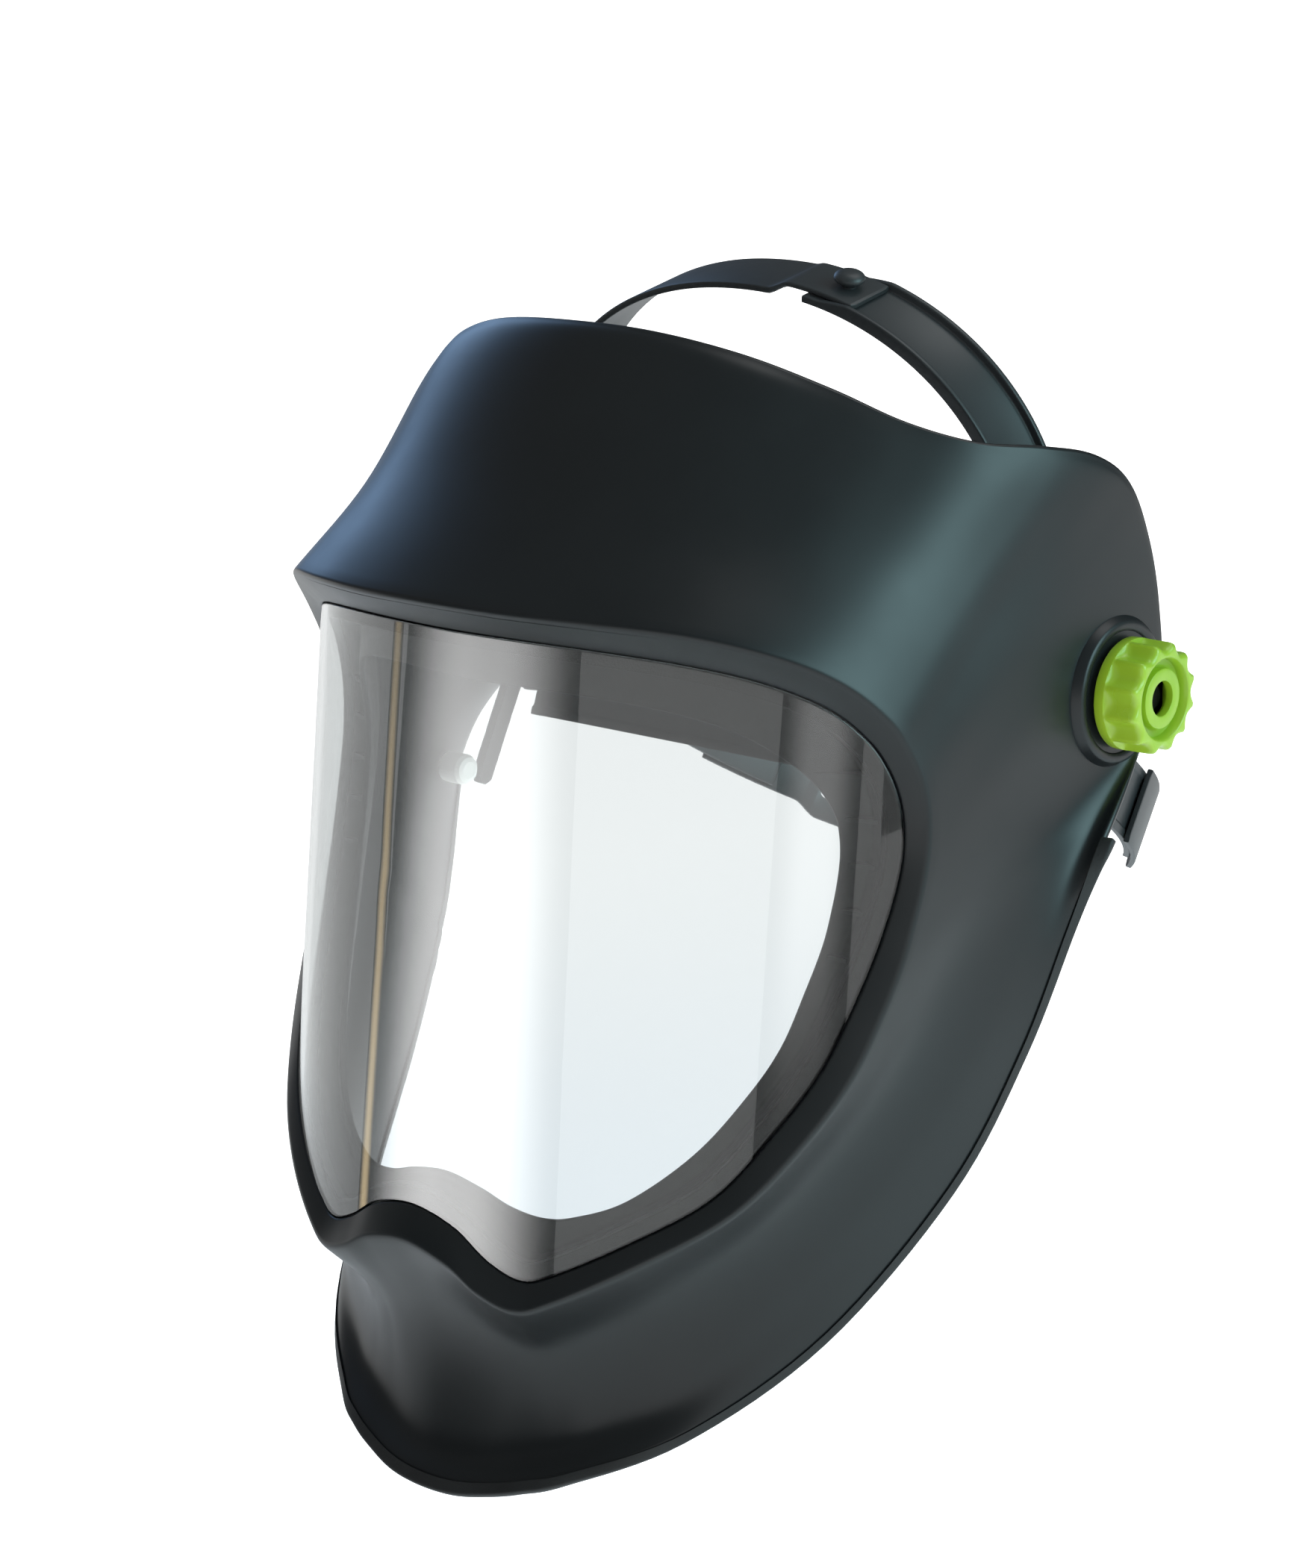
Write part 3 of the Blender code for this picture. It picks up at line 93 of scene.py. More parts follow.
def mouldedPlastic(name, values):
    # Injection-moulded nylon: a spark-eroded mould leaves fine pits that scatter the highlight, and
    # thick and thin sections cool at different rates, so the tone drifts a little
    look, tree, shader = newMaterial(name, {
        "IOR": values["ior"], "Specular IOR Level": values["specular"],
        "Coat Weight": values["coat"], "Coat Roughness": 0.35,
    })
    place = addNode(tree, "ShaderNodeTexCoord").outputs["Object"]
    drift = addNode(tree, "ShaderNodeTexNoise", None,
                    {"Vector": place, "Scale": 1 / values["driftSize"], "Detail": 3.0})
    tone = addNode(tree, "ShaderNodeValToRGB", None, {"Fac": drift.outputs["Fac"]},
                   [(0.3, values["dark"]), (0.7, values["light"])])
    tree.links.new(tone.outputs["Color"], shader.inputs["Base Color"])
    pits = addNode(tree, "ShaderNodeTexVoronoi", {"feature": "F1"},
                   {"Vector": place, "Scale": 1 / values["pitSize"]})
    fine = addNode(tree, "ShaderNodeTexNoise", None,
                   {"Vector": place, "Scale": 1.6 / values["pitSize"], "Detail": 4.0})
    mixed = addNode(tree, "ShaderNodeMath", {"operation": "MULTIPLY_ADD"},
                    {0: pits.outputs["Distance"], 1: 0.6, 2: fine.outputs["Fac"]})
    bump = addNode(tree, "ShaderNodeBump", None,
                   {"Height": mixed.outputs[0], "Strength": values["bump"], "Distance": values["depth"]})
    tree.links.new(bump.outputs["Normal"], shader.inputs["Normal"])
    rub = addNode(tree, "ShaderNodeTexNoise", None,
                  {"Vector": place, "Scale": 18.0, "Detail": 5.0, "Roughness": 0.6})
    dull = addNode(tree, "ShaderNodeMapRange", None, {
        "Value": rub.outputs["Fac"], "From Min": 0.3, "From Max": 0.7,
        "To Min": values["roughness"] - 0.04, "To Max": values["roughness"] + 0.05})
    tree.links.new(dull.outputs["Result"], shader.inputs["Roughness"])
    return look


plain = {"depth": 0.0001, "specular": 0.5, "coat": 0.0}  # what most of these plastics share
shellNylon = mouldedPlastic("mattePaintedNylonShell", {
    **plain, "dark": "#101315", "light": "#15191b", "driftSize": 0.09, "pitSize": 0.0004, "bump": 0.012,
    "roughness": 0.36, "ior": 1.5})
frameNylon = mouldedPlastic("mouldedNylonFrame", {
    **plain, "dark": "#131415", "light": "#18191a", "driftSize": 0.05, "pitSize": 0.0004, "bump": 0.006,
    "roughness": 0.5, "ior": 1.53, "specular": 0.3})
strapPlastic = mouldedPlastic("mouldedPolyethyleneStrap", {
    **plain, "dark": "#25282a", "light": "#2c3032", "driftSize": 0.04, "pitSize": 0.0005, "bump": 0.02,
    "roughness": 0.40, "ior": 1.51})
limeNylon = mouldedPlastic("glossMouldedLimeNylon", {
    **plain, "dark": "#7fa61c", "light": "#92b42a", "driftSize": 0.02, "pitSize": 0.0012, "bump": 0.05,
    "roughness": 0.30, "ior": 1.53, "coat": 0.25})
acetal = mouldedPlastic("turnedWhiteAcetal", {
    **plain, "dark": "#d8d8d2", "light": "#e4e4de", "driftSize": 0.01, "pitSize": 0.0010, "bump": 0.05,
    "roughness": 0.35, "ior": 1.48})
edgeRubber = mouldedPlastic("extrudedRubberEdge", {
    **plain, "dark": "#141516", "light": "#1b1d1e", "driftSize": 0.02, "pitSize": 0.0009, "bump": 0.2,
    "depth": 0.0002, "roughness": 0.55, "ior": 1.52, "specular": 0.45})


def turnedMetal(name, colour, dark, roughness, ringPitch):
    # Turned and plated metal: fine tool rings round the bolt, which stretch the highlight sideways
    look, tree, shader = newMaterial(name, {"Metallic": 1.0, "Anisotropic": 0.4})
    place = addNode(tree, "ShaderNodeTexCoord").outputs["Object"]
    rings = addNode(tree, "ShaderNodeTexWave", {"wave_type": "BANDS", "bands_direction": "X"},
                    {"Vector": place, "Scale": 1 / ringPitch / 20, "Distortion": 1.5, "Detail": 2.0})
    stain = addNode(tree, "ShaderNodeTexNoise", None, {"Vector": place, "Scale": 160.0, "Detail": 3.0})
    tone = addNode(tree, "ShaderNodeValToRGB", None, {"Fac": stain.outputs["Fac"]},
                   [(0.35, dark), (0.65, colour)])
    tree.links.new(tone.outputs["Color"], shader.inputs["Base Color"])
    dull = addNode(tree, "ShaderNodeMapRange", None,
                   {"Value": stain.outputs["Fac"], "To Min": roughness - 0.06, "To Max": roughness + 0.08})
    tree.links.new(dull.outputs["Result"], shader.inputs["Roughness"])
    bump = addNode(tree, "ShaderNodeBump", None,
                   {"Height": rings.outputs["Fac"], "Strength": 0.15, "Distance": 0.00005})
    tree.links.new(bump.outputs["Normal"], shader.inputs["Normal"])
    return look


zincSteel = turnedMetal("zincPlatedTurnedSteel", "#b9bdc0", "#a3a7ab", 0.3, 0.0004)
blackSteel = turnedMetal("blackOxideTurnedSteel", "#1a1a1b", "#101011", 0.38, 0.0004)


def clearSheet():
    # Polycarbonate sheet with a hard coat: glass-clear, a smooth skin, and hair-fine wiping marks
    look, tree, shader = newMaterial("hardCoatedPolycarbonate", {
        "Base Color": srgb("#eef1f1"), "IOR": 1.586, "Transmission Weight": 1.0, "Roughness": 0.015})
    place = addNode(tree, "ShaderNodeTexCoord").outputs["Object"]
    stretch = addNode(tree, "ShaderNodeMapping", None, {"Vector": place, "Scale": (260.0, 260.0, 9.0)})
    wipes = addNode(tree, "ShaderNodeTexNoise", None,
                    {"Vector": stretch.outputs[0], "Scale": 1.0, "Detail": 3.0, "Roughness": 0.7})
    bump = addNode(tree, "ShaderNodeBump", None,
                   {"Height": wipes.outputs["Fac"], "Strength": 0.012, "Distance": 0.0001})
    tree.links.new(bump.outputs["Normal"], shader.inputs["Normal"])
    return look


lensClear = clearSheet()


def foamRubber():
    # Closed-cell foam strip: sooty black, cut cells along its edge, each cell's hollow middle painted darker
    # as shade
    look, tree, shader = newMaterial("closedCellFoamRubber", {"Roughness": 0.85})
    place = addNode(tree, "ShaderNodeTexCoord").outputs["Object"]
    cells = addNode(tree, "ShaderNodeTexVoronoi", None, {"Vector": place, "Scale": 1600.0})
    # painted shade: the tone is darkest where the cell distance is lowest, the same hollow middle that the
    # bump sinks
    tone = addNode(tree, "ShaderNodeValToRGB", None, {"Fac": cells.outputs["Distance"]},
                   [(0.0, "#0b0b0b"), (0.6, "#1a1a1a")])
    tree.links.new(tone.outputs["Color"], shader.inputs["Base Color"])
    bump = addNode(tree, "ShaderNodeBump", None,
                   {"Height": cells.outputs["Distance"], "Strength": 0.4, "Distance": 0.0002})
    tree.links.new(bump.outputs["Normal"], shader.inputs["Normal"])
    return look


foamBlack = foamRubber()


def knitFabric():
    # Brushed knit over foam: rows of loops 0.8 mm apart, a soft fuzz that glows at the edges and varies the
    # tone at random, and painted shade in the grooves between the loops
    look, tree, shader = newMaterial("brushedKnitPad", {
        "Roughness": 0.9, "Sheen Weight": 0.5, "Sheen Roughness": 0.4, "Sheen Tint": srgb("#8c9296")})
    place = addNode(tree, "ShaderNodeTexCoord").outputs["Object"]
    rows, columns = (
        addNode(tree, "ShaderNodeTexWave", {"wave_type": "BANDS", "bands_direction": way},
                {"Vector": place, "Scale": 62.0, "Distortion": 1.2, "Detail": 1.0}) for way in "ZX")
    loops = addNode(tree, "ShaderNodeMath", {"operation": "MULTIPLY"},
                    {0: rows.outputs["Fac"], 1: columns.outputs["Fac"]})
    fuzz = addNode(tree, "ShaderNodeTexNoise", None, {"Vector": place, "Scale": 900.0, "Detail": 3.0})
    weaveAndGrooveShade = addNode(tree, "ShaderNodeMath", {"operation": "MULTIPLY_ADD"},
                    {0: fuzz.outputs["Fac"], 1: 0.5, 2: loops.outputs[0]})
    # painted shade: the tone follows the weave's height, darker in the low grooves between loops, with the
    # fuzz adding random tone
    tone = addNode(tree, "ShaderNodeValToRGB", None, {"Fac": weaveAndGrooveShade.outputs[0]},
                   [(0.2, "#17181a"), (0.9, "#303337")])
    tree.links.new(tone.outputs["Color"], shader.inputs["Base Color"])
    bump = addNode(tree, "ShaderNodeBump", None,
                   {"Height": weaveAndGrooveShade.outputs[0], "Strength": 0.6, "Distance": 0.0003})
    tree.links.new(bump.outputs["Normal"], shader.inputs["Normal"])
    return look


padKnit = knitFabric()
print("materials made")


# meshes from grids of points, in millimetres
def gridFaces(rows, columns, ring, start):
    # four corners per cell, from each row to the next and each column to the next; columns close up
    r = np.arange(rows if ring else rows - 1)[:, None]
    c = np.arange(columns)[None, :]
    nextR = (r + 1) % rows
    nextC = (c + 1) % columns
    corners = (r * columns + c, r * columns + nextC, nextR * columns + nextC, nextR * columns + c)
    cells = np.stack(corners, -1)
    return (cells.reshape(-1, 4) + start).tolist()


def makePiece(name, grids, look, sharpAngle=40.0, ring=False):
    # each grid's rows are closed outlines; the rows close into a ring, or else both end rows are capped
    points = []
    faces = []
    start = 0
    for grid in grids:
        rows, columns = grid.shape[:2]
        points.append(grid.reshape(-1, 3))
        faces += gridFaces(rows, columns, ring, start)
        if not ring:
            faces.append(list(range(start, start + columns)))
            faces.append(list(range(start + (rows - 1) * columns, start + rows * columns)))
        start += rows * columns
    mesh = bpy.data.meshes.new(name)
    mesh.from_pydata((np.concatenate(points) * mm).tolist(), [], faces)
    bm = bmesh.new()
    bm.from_mesh(mesh)
    bmesh.ops.remove_doubles(bm, verts=bm.verts, dist=1e-7)
    bmesh.ops.recalc_face_normals(bm, faces=bm.faces)
    bm.to_mesh(mesh)
    bm.free()
    mesh.shade_smooth()
    mesh.set_sharp_from_angle(angle=math.radians(sharpAngle))
    mesh.materials.append(look)
    piece = bpy.data.objects.new(name, mesh)
    bpy.context.scene.collection.objects.link(piece)
    return piece


def seat(piece, body, slotName, *nodes):
    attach(piece, body)
    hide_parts(*nodes)
    return piece


def unit(vectors):  # each vector over its own length
    return vectors / np.linalg.norm(vectors, axis=-1, keepdims=True)


def smoothRow(points, step, closed=True):
    # Catmull-Rom: each span is a cubic whose slope at a point is half the chord of its neighbours
    points = np.asarray(points, float)
    if closed:
        padded = np.concatenate([points[-1:], points, points[:2]])
    else:
        padded = np.concatenate([2 * points[:1] - points[1:2], points, 2 * points[-1:] - points[-2:-1]])
    a, b, c, d = (padded[k:len(padded) - 3 + k, None] for k in range(4))
    t = (np.arange(step) / step).reshape(1, -1, *[1] * (points.ndim - 1))
    curve = 0.5 * (2 * b + (c - a) * t + (2 * a - 5 * b + 4 * c - d) * t**2 + (3 * b - a - 3 * c + d) * t**3)
    curve = curve.reshape(-1, *points.shape[1:])
    return curve if closed else np.concatenate([curve, points[-1:]])


def allRound(half, step):  # the left half's stations and their mirror image as one closed curve
    half = np.asarray(half, float)
    other = half[-2:0:-1].copy()
    other[:, 0] *= -1
    return smoothRow(np.vstack([half, other]), step)


def roundedOutline(corners, radius, steps=4):
    # each corner becomes a curve that leaves one side and meets the next at the radius's distance;
    # corners may be a list of outlines, one for each place along a sweep
    corners = np.asarray(corners, float)
    before = np.roll(corners, 1, axis=-2) - corners
    after = np.roll(corners, -1, axis=-2) - corners
    reach = np.minimum(radius, 0.45 * np.minimum(
        np.linalg.norm(before, axis=-1), np.linalg.norm(after, axis=-1)))[..., None]
    first = corners + unit(before) * reach
    last = corners + unit(after) * reach
    t = np.linspace(0, 1, steps)[:, None]
    curve = (first[..., None, :] * (1 - t)**2 + 2 * corners[..., None, :] * t * (1 - t)
             + last[..., None, :] * t**2)
    return curve.reshape(*corners.shape[:-2], -1, 2)


def ease(share):  # 3 t squared minus 2 t cubed: starts and ends level
    return share * share * (3 - 2 * share)


def sectionRows(corners, count):
    # corners are (outward, upward), each one number or one for every row of a sweep
    return np.stack([np.stack([np.broadcast_to(value, count) for value in corner], -1)
                     for corner in corners], 1)


def sweep(path, out, up, sections):
    # a section's first number goes along the outward way and its second along the up way
    sections = np.asarray(sections, float)
    if sections.ndim == 2:
        sections = sections[None]
    return path[:, None] + out[:, None] * sections[..., 0:1] + up[:, None] * sections[..., 1:2]


def closeEnds(grid, pull=0.35):  # shrinks the two end sections a little, so a swept piece ends softly
    middle = grid.mean(axis=1, keepdims=True)
    step = np.linalg.norm(grid[1] - grid[0], axis=-1).mean()
    share = min(0.9, pull / max(step, 1e-6))
    first = middle[:1] + (grid[:1] - middle[:1]) * 0.8
    last = middle[-1:] + (grid[-1:] - middle[-1:]) * 0.8
    second = grid[:1] + (grid[1:2] - grid[:1]) * share
    fourth = grid[-1:] + (grid[-2:-1] - grid[-1:]) * share
    return np.concatenate([first, second, grid[1:-1], fourth, last])


def turnedGrid(profile, place, axis, steps=64):
    # a profile of (distance along the axis, radius) carried once round the axis
    profile = np.asarray(profile, float)
    axis = unit(np.asarray(axis, float))
    side = unit(np.cross(axis, [0.31, 0.53, 0.79]))  # any line that isn't along the axis
    other = np.cross(axis, side)
    angle = np.linspace(0, 2 * math.pi, steps, endpoint=False)
    ring = side * np.cos(angle)[:, None] + other * np.sin(angle)[:, None]
    return np.asarray(place, float) + axis * profile[:, None, :1] + ring[None] * profile[:, None, 1:]


def applyModifiers(piece):  # the evaluated mesh takes the place of the mesh and its modifiers
    graph = bpy.context.evaluated_depsgraph_get()
    mesh = bpy.data.meshes.new_from_object(piece.evaluated_get(graph))
    piece.modifiers.clear()
    piece.data = mesh


def subtract(target, tool):
    change = target.modifiers.new("cut", "BOOLEAN")
    change.operation = "DIFFERENCE"
    change.solver = "EXACT"
    change.object = tool
    applyModifiers(target)
    bpy.data.objects.remove(tool, do_unlink=True)


nearAxis = 0.01  # a turned profile stops this short of its axis


# the shell's cage: rows of stations from the forehead's middle down the left side to the chin
shellForm = {
    "reach": 150.0, "lensRadius": 125.0, "lensLean": 0.099,  # lens ahead of the pivots; its curve and lean
    "wall": 2.5, "seatWall": 2.3, "seatWidth": 4.5, "lensThickness": 1.8, "gasketThickness": 0.9,
    "gap": 0.3, "edgeClearance": 0.4, "crestRound": 1.6, "footRound": 0.5, "edgeRound": 0.9,
    "columnSteps": 8, "rowSteps": 9,
}
visorEdge = [  # angle round the lens in degrees, height
    (0, 23.5), (12, 23.2), (23, 22), (33.5, 19.5), (43, 15), (51, 8), (56.5, -1), (59.5, -9.5),
    (61.2, -17.5), (62, -25), (62.2, -33), (61.8, -40.5), (61, -48.5), (59.6, -59), (57.2, -73),
    (53.8, -89.5), (48.7, -105.5), (41.5, -124), (31.5, -137.5), (21.5, -149), (17.3, -151.5),
    (12.5, -147.8), (7, -140.5), (0, -137.3),
]
crestLine = [  # angle, height, stand-off from the lens
    (0, 32.5, 10.5), (12, 32, 10.5), (23, 31.2, 10.5), (34, 29, 10), (44, 23.5, 9), (52, 15.5, 8),
    (58, 5, 6.5), (61.3, -4.5, 5), (63.4, -13, 4.2), (64.5, -22, 3.7), (64.8, -31, 3.5),
    (64.5, -40, 3.5), (63.7, -50, 3.5), (62.5, -62, 3.5), (60.3, -76, 3.5), (57, -92.5, 3.5),
    (51.8, -109, 3.5), (44, -127.5, 3.5), (33, -142.3, 3.5), (22.3, -155.3, 3.5),
    (17.3, -159.2, 3.5), (12, -156, 3.5), (7, -149.8, 3.5), (0, -146.5, 3.5),
]
frameEdge = [  # inner edge of the frame behind the lens: angle, height
    (0, 8), (11, 8), (21.5, 7), (31, 4.5), (39.5, 0), (46, -6.5), (50.5, -13), (53.3, -19),
    (54.9, -24.5), (55.6, -29.5), (55.9, -35), (55.8, -41), (55.4, -48), (54.4, -59),
    (52.3, -72), (49.5, -87), (45.2, -100.5), (38.5, -116.5), (29.5, -130.5), (22, -136.5),
    (17.3, -138), (12, -136.5), (6.5, -133), (0, -131),
]
rimLine = [  # free edge: X, Y, Z
    (0, -98, 104), (28, -94.5, 102.5), (53, -85, 97), (74, -73.5, 88.5), (91, -63, 80),
    (105, -50, 74.5), (113.5, -31, 72), (117, -11, 68), (118.5, 4, 59), (119, 14, 42),
    (119.2, 20, 22), (119.5, 21.5, 0), (121.8, 8, -19), (127, -16, -38), (123, -26, -63),
    (117, -39, -98), (109, -60, -134), (93, -95, -172), (71, -128, -197), (46, -148.5, -210),
    (34, -155, -214), (23, -158.5, -217), (12, -161, -219), (0, -162, -219.5),
]
foldLine = [  # where the cheek turns out to the lower edge, and the panel's bulge: X, Y, Z, bulge
    (0, -105, 97.5, 3), (27, -102, 95.5, 3), (53, -94, 89.5, 3), (76, -80, 80, 3),
    (93, -68, 72, 3), (107, -53, 66.5, 3), (114.5, -33, 63, 3), (117.8, -15, 59, 3),
    (118.8, -2, 51, 2), (119.1, 6, 37, 1), (119.2, 11, 20, 0), (119.2, 12, 0, 0),
    (119.6, 1, -20, 0.5), (121, -19, -39, 2), (118.5, -37, -63, 3), (114.5, -51, -92, 4),
    (106.5, -70, -121, 5), (92, -97, -153, 6), (72, -123, -181, 7), (48, -139, -197, 8),
    (36, -145, -202, 8), (25, -149, -205, 8), (12, -153, -207.5, 8), (0, -154.5, -208, 8),
]


def onLens(edge, off):
    # an upright cylinder whose front comes forward as it drops: angle and height give a point of it,
    # and off moves the point square out from it
    radius = shellForm["lensRadius"]
    angle = np.radians(edge[..., 0])
    height = edge[..., 1]
    middle = -shellForm["reach"] + shellForm["lensLean"] * height + radius
    off = np.asarray(off, float)
    return np.stack([(radius + off) * np.sin(angle), middle - (radius + off) * np.cos(angle),
                     height + 0 * off], -1)


def insetEdge(edge, distance):  # an outline of angle and height moved sideways, inwards where positive
    scale = np.array([math.radians(1.0) * shellForm["lensRadius"], 1.0])
    flat = edge[..., :2] * scale
    along = np.roll(flat, -1, axis=0) - np.roll(flat, 1, axis=0)
    side = unit(np.stack([along[:, 1], -along[:, 0]], -1))
    return (flat + side * distance) / scale


columnSteps = shellForm["columnSteps"]
edgeRow = allRound(visorEdge, columnSteps)
crestRow = allRound(crestLine, columnSteps)
frameRow = allRound(frameEdge, columnSteps)
seatFront = -shellForm["lensThickness"] - shellForm["gasketThickness"] - 2 * shellForm["gap"]
seatBack = seatFront - shellForm["seatWall"]


def shellRows():
    # crest, bulged middle, fold and rim, joined down each column by a smooth curve
    crest = onLens(crestRow[:, :2], crestRow[:, 2])
    fold = allRound(foldLine, columnSteps)
    rim = allRound(rimLine, columnSteps)
    bulge = fold[:, 3:]
    fold = fold[:, :3]
    along = np.roll(crest, -1, axis=0) - np.roll(crest, 1, axis=0)
    out = unit(np.cross(fold - crest, along))
    middle = (crest + fold) / 2 + out * bulge
    return smoothRow(np.stack([crest, middle, fold, rim]), shellForm["rowSteps"], closed=False)


def gridNormals(grid):  # square to the differences along and across the rows
    along = np.roll(grid, -1, axis=1) - np.roll(grid, 1, axis=1)
    return unit(np.cross(along, np.gradient(grid, axis=0)))


def blendCorner(before, corner, after, radius, count=5):
    # rows that round a corner between two rows of points
    first = corner + unit(before - corner) * radius
    last = corner + unit(after - corner) * radius
    t = np.linspace(0, 1, count)[:, None, None]
    return first * (1 - t)**2 + 2 * corner * t * (1 - t) + last * t**2


halfTurn = np.radians(np.linspace(90, -90, 7)[1:-1])  # round an edge from its outer to its inner face


def shellSkin():
    # the outer rows, a half-round free edge, the inner rows one wall inside them and the lens seat: a
    # closed outline at every station, carried round the visor
    rows = shellRows()
    normals = gridNormals(rows)
    inner = rows - normals * shellForm["wall"]
    clear = -shellForm["edgeClearance"]
    foot = onLens(insetEdge(edgeRow, clear), 0.2)
    corner = onLens(insetEdge(edgeRow, clear), seatFront)
    lip = onLens(insetEdge(edgeRow, shellForm["seatWidth"]), seatFront)
    lipBack = onLens(insetEdge(edgeRow, shellForm["seatWidth"]), seatBack)
    cornerBack = onLens(insetEdge(edgeRow, clear - shellForm["wall"]), seatBack)
    crestRound = blendCorner(foot, rows[0], rows[1], shellForm["crestRound"])
    footRound = blendCorner(corner, foot, rows[0], shellForm["footRound"], 4)
    out = unit(rows[-1] - rows[-2])
    half = shellForm["wall"] / 2
    back = out * half * shellForm["edgeRound"]
    turn = halfTurn[:, None, None]
    middle = (rows[-1] + inner[-1]) / 2
    edge = middle - back + (normals[-1] * np.sin(turn) + out * np.cos(turn)) * half
    rows[-1] = rows[-1] - back
    inner[-1] = inner[-1] - back
    stack = [lip[None], corner[None], footRound, crestRound, rows[1:], edge, inner[::-1], cornerBack[None],
             lipBack[None]]
    return makePiece("shellSkin", [np.concatenate(stack)], shellNylon, 38.0, ring=True)


pivotX = 119.5
pivotPad = {"radius": 20.5, "face": 0.6, "inside": 4.0, "bore": 6.3, "ringRadius": 19.0, "ringHeight": 0.9,
            "ringHalf": 1.6, "boreMiddle": 117.5, "boreHalf": 8.0}


def cutBores(shell):  # a plain cylinder through each pivot pad
    reach, radius = pivotPad["boreHalf"], pivotPad["bore"]
    profile = [(-reach, radius), (-reach, nearAxis), (reach, nearAxis), (reach, radius)]
    for sign in sides.values():
        grid = turnedGrid(profile, (sign * pivotPad["boreMiddle"], 0, 0), (sign, 0, 0))
        subtract(shell, makePiece("pivotHole", [grid], shellNylon, ring=True))


shell = shellSkin()
cutBores(shell)
seat(shell, "shell", "shell", "outer_shell")
print("shell made", len(shell.data.polygons))


def padRing(side, sign):
    # a flat round pad with a half-round ring near its edge, sunk into the shell's wall
    p = pivotPad
    ring = np.linspace(0, math.pi, 9)
    bead = np.stack([p["face"] + p["ringHeight"] * np.sin(ring),
                     p["ringRadius"] + p["ringHalf"] * np.cos(ring)], -1)
    profile = [(-2.6, p["radius"] + 1.5), (-0.6, p["radius"] + 1.2), *bead.tolist(),
               (p["face"], p["ringRadius"] - 2.2), (p["face"], p["bore"]), (-p["inside"], p["bore"]),
               (-p["inside"], p["radius"] - 3.0), (-p["inside"] + 0.6, p["radius"] - 1.5)]
    grid = turnedGrid(profile, (sign * pivotX, 0, 0), (sign, 0, 0), 96)
    return makePiece(side + "PivotPad", [grid], shellNylon, 50.0, ring=True)


for side, sign in sides.items():
    seat(padRing(side, sign), "shell", "shell")


def visorLens():
    # rings from the middle out to the edge, on the outer and then the inner face, with a rounded edge
    middle = np.array([0.0, -55.0])
    thick = shellForm["lensThickness"]
    edge = insetEdge(edgeRow, shellForm["gap"])
    share = np.sin(np.linspace(0.02, 1, 22) * math.pi / 2)[:, None, None]
    flat = middle + (edge - middle) * share
    outer = onLens(flat, 0.0)
    inner = onLens(flat[::-1], -thick)
    turn = halfTurn[:, None, None]
    top = onLens(edge, 0.0)
    spread = onLens(insetEdge(edgeRow, 0.0), 0.0) - top
    depth = onLens(edge, -thick) - top
    rim = top + spread * np.cos(turn) + depth * (1 - np.sin(turn)) / 2
    return makePiece("visorSheet", [np.concatenate([outer, rim, inner])], lensClear)


visor = seat(visorLens(), "shell", "lens", "visor_lens")


def ringOnLens(name, section, look):  # a section of (inset, stand-off) carried round the visor
    grid = np.stack([onLens(insetEdge(edgeRow, inset), off) for inset, off in section])
    return makePiece(name, [grid], look, ring=True)


gasketTop = -shellForm["lensThickness"] - shellForm["gap"]
gasketLow = gasketTop - shellForm["gasketThickness"]
gasketEdge, gasketInner = 0.8, 4.0  # how far in from the visor's edge
gasket = roundedOutline([(gasketEdge, gasketTop), (gasketInner, gasketTop), (gasketInner, gasketLow),
                         (gasketEdge, gasketLow)], 0.25)
seat(ringOnLens("gasketStrip", gasket, foamBlack), "shell", "gasket", "visor_gasket")

frameForm = {"wall": 2.0, "depth": 6.1, "flange": 3.2, "round": 0.6, "bend": 1.2, "outerBend": 1.6}


def rowsRounded(rows, radii):  # rounds the corners of a closed stack of rows, each by its own radius
    count = len(rows)
    turned = [blendCorner(rows[k - 1], rows[k], rows[(k + 1) % count], radii[k], 4) for k in range(count)]
    return np.concatenate(turned)


def visorFrame():
    # flange, step and inner lip behind the lens: eight corners at every station, each rounded
    f = frameForm
    top = seatBack - shellForm["gap"]
    low = top - f["depth"]
    wall = f["wall"]
    step = insetEdge(edgeRow, shellForm["seatWidth"])
    stepBack = insetEdge(edgeRow, shellForm["seatWidth"] - wall)
    flange = insetEdge(edgeRow, -f["flange"])
    rows = [onLens(step, top), onLens(step, low), onLens(frameRow, low), onLens(frameRow, low - wall),
            onLens(stepBack, low - wall), onLens(stepBack, top - wall), onLens(flange, top - wall),
            onLens(flange, top)]
    small, bend = f["round"], f["bend"]
    radii = [small, f["outerBend"], small, small, bend, bend, small, small]
    return makePiece("visorFrame", [rowsRounded(rows, radii)], frameNylon, ring=True)


seat(visorFrame(), "shell", "frame", "visor_frame")

gussetForm = {"heights": (-12.0, -24.5, -37.0, -49.5, -62.0), "half": 0.6, "outside": 2.3, "inside": 0.8,
              "top": 0.8, "low": 0.4}  # outside and inside are in degrees


def frameGussets():
    # thin three-cornered webs in the frame's step, five on each side
    g = gussetForm
    top = seatBack - shellForm["gap"]
    low = top - frameForm["depth"]
    edges = np.array(visorEdge[5:17])[::-1]
    inner = np.array(frameEdge[5:17])[::-1]
    webs = []
    for sign in sides.values():
        for height in g["heights"]:
            outside = np.interp(height, edges[:, 1], edges[:, 0]) - g["outside"]
            inside = np.interp(height, inner[:, 1], inner[:, 0]) + g["inside"]
            rows = []
            for level in (height - g["half"], height + g["half"]):
                corners = np.array([[outside, level], [outside, level], [inside, level]]) * [sign, 1]
                rows.append(onLens(corners, np.array([top - g["top"], low - g["low"], low - g["low"]])))
            webs.append(np.stack(rows))
    return makePiece("frameGussets", webs, frameNylon, 30.0)


seat(frameGussets(), "shell", "frame")

trimForm = {"first": 13, "stand": -0.6, "thickness": 3.3, "width": 2.9}


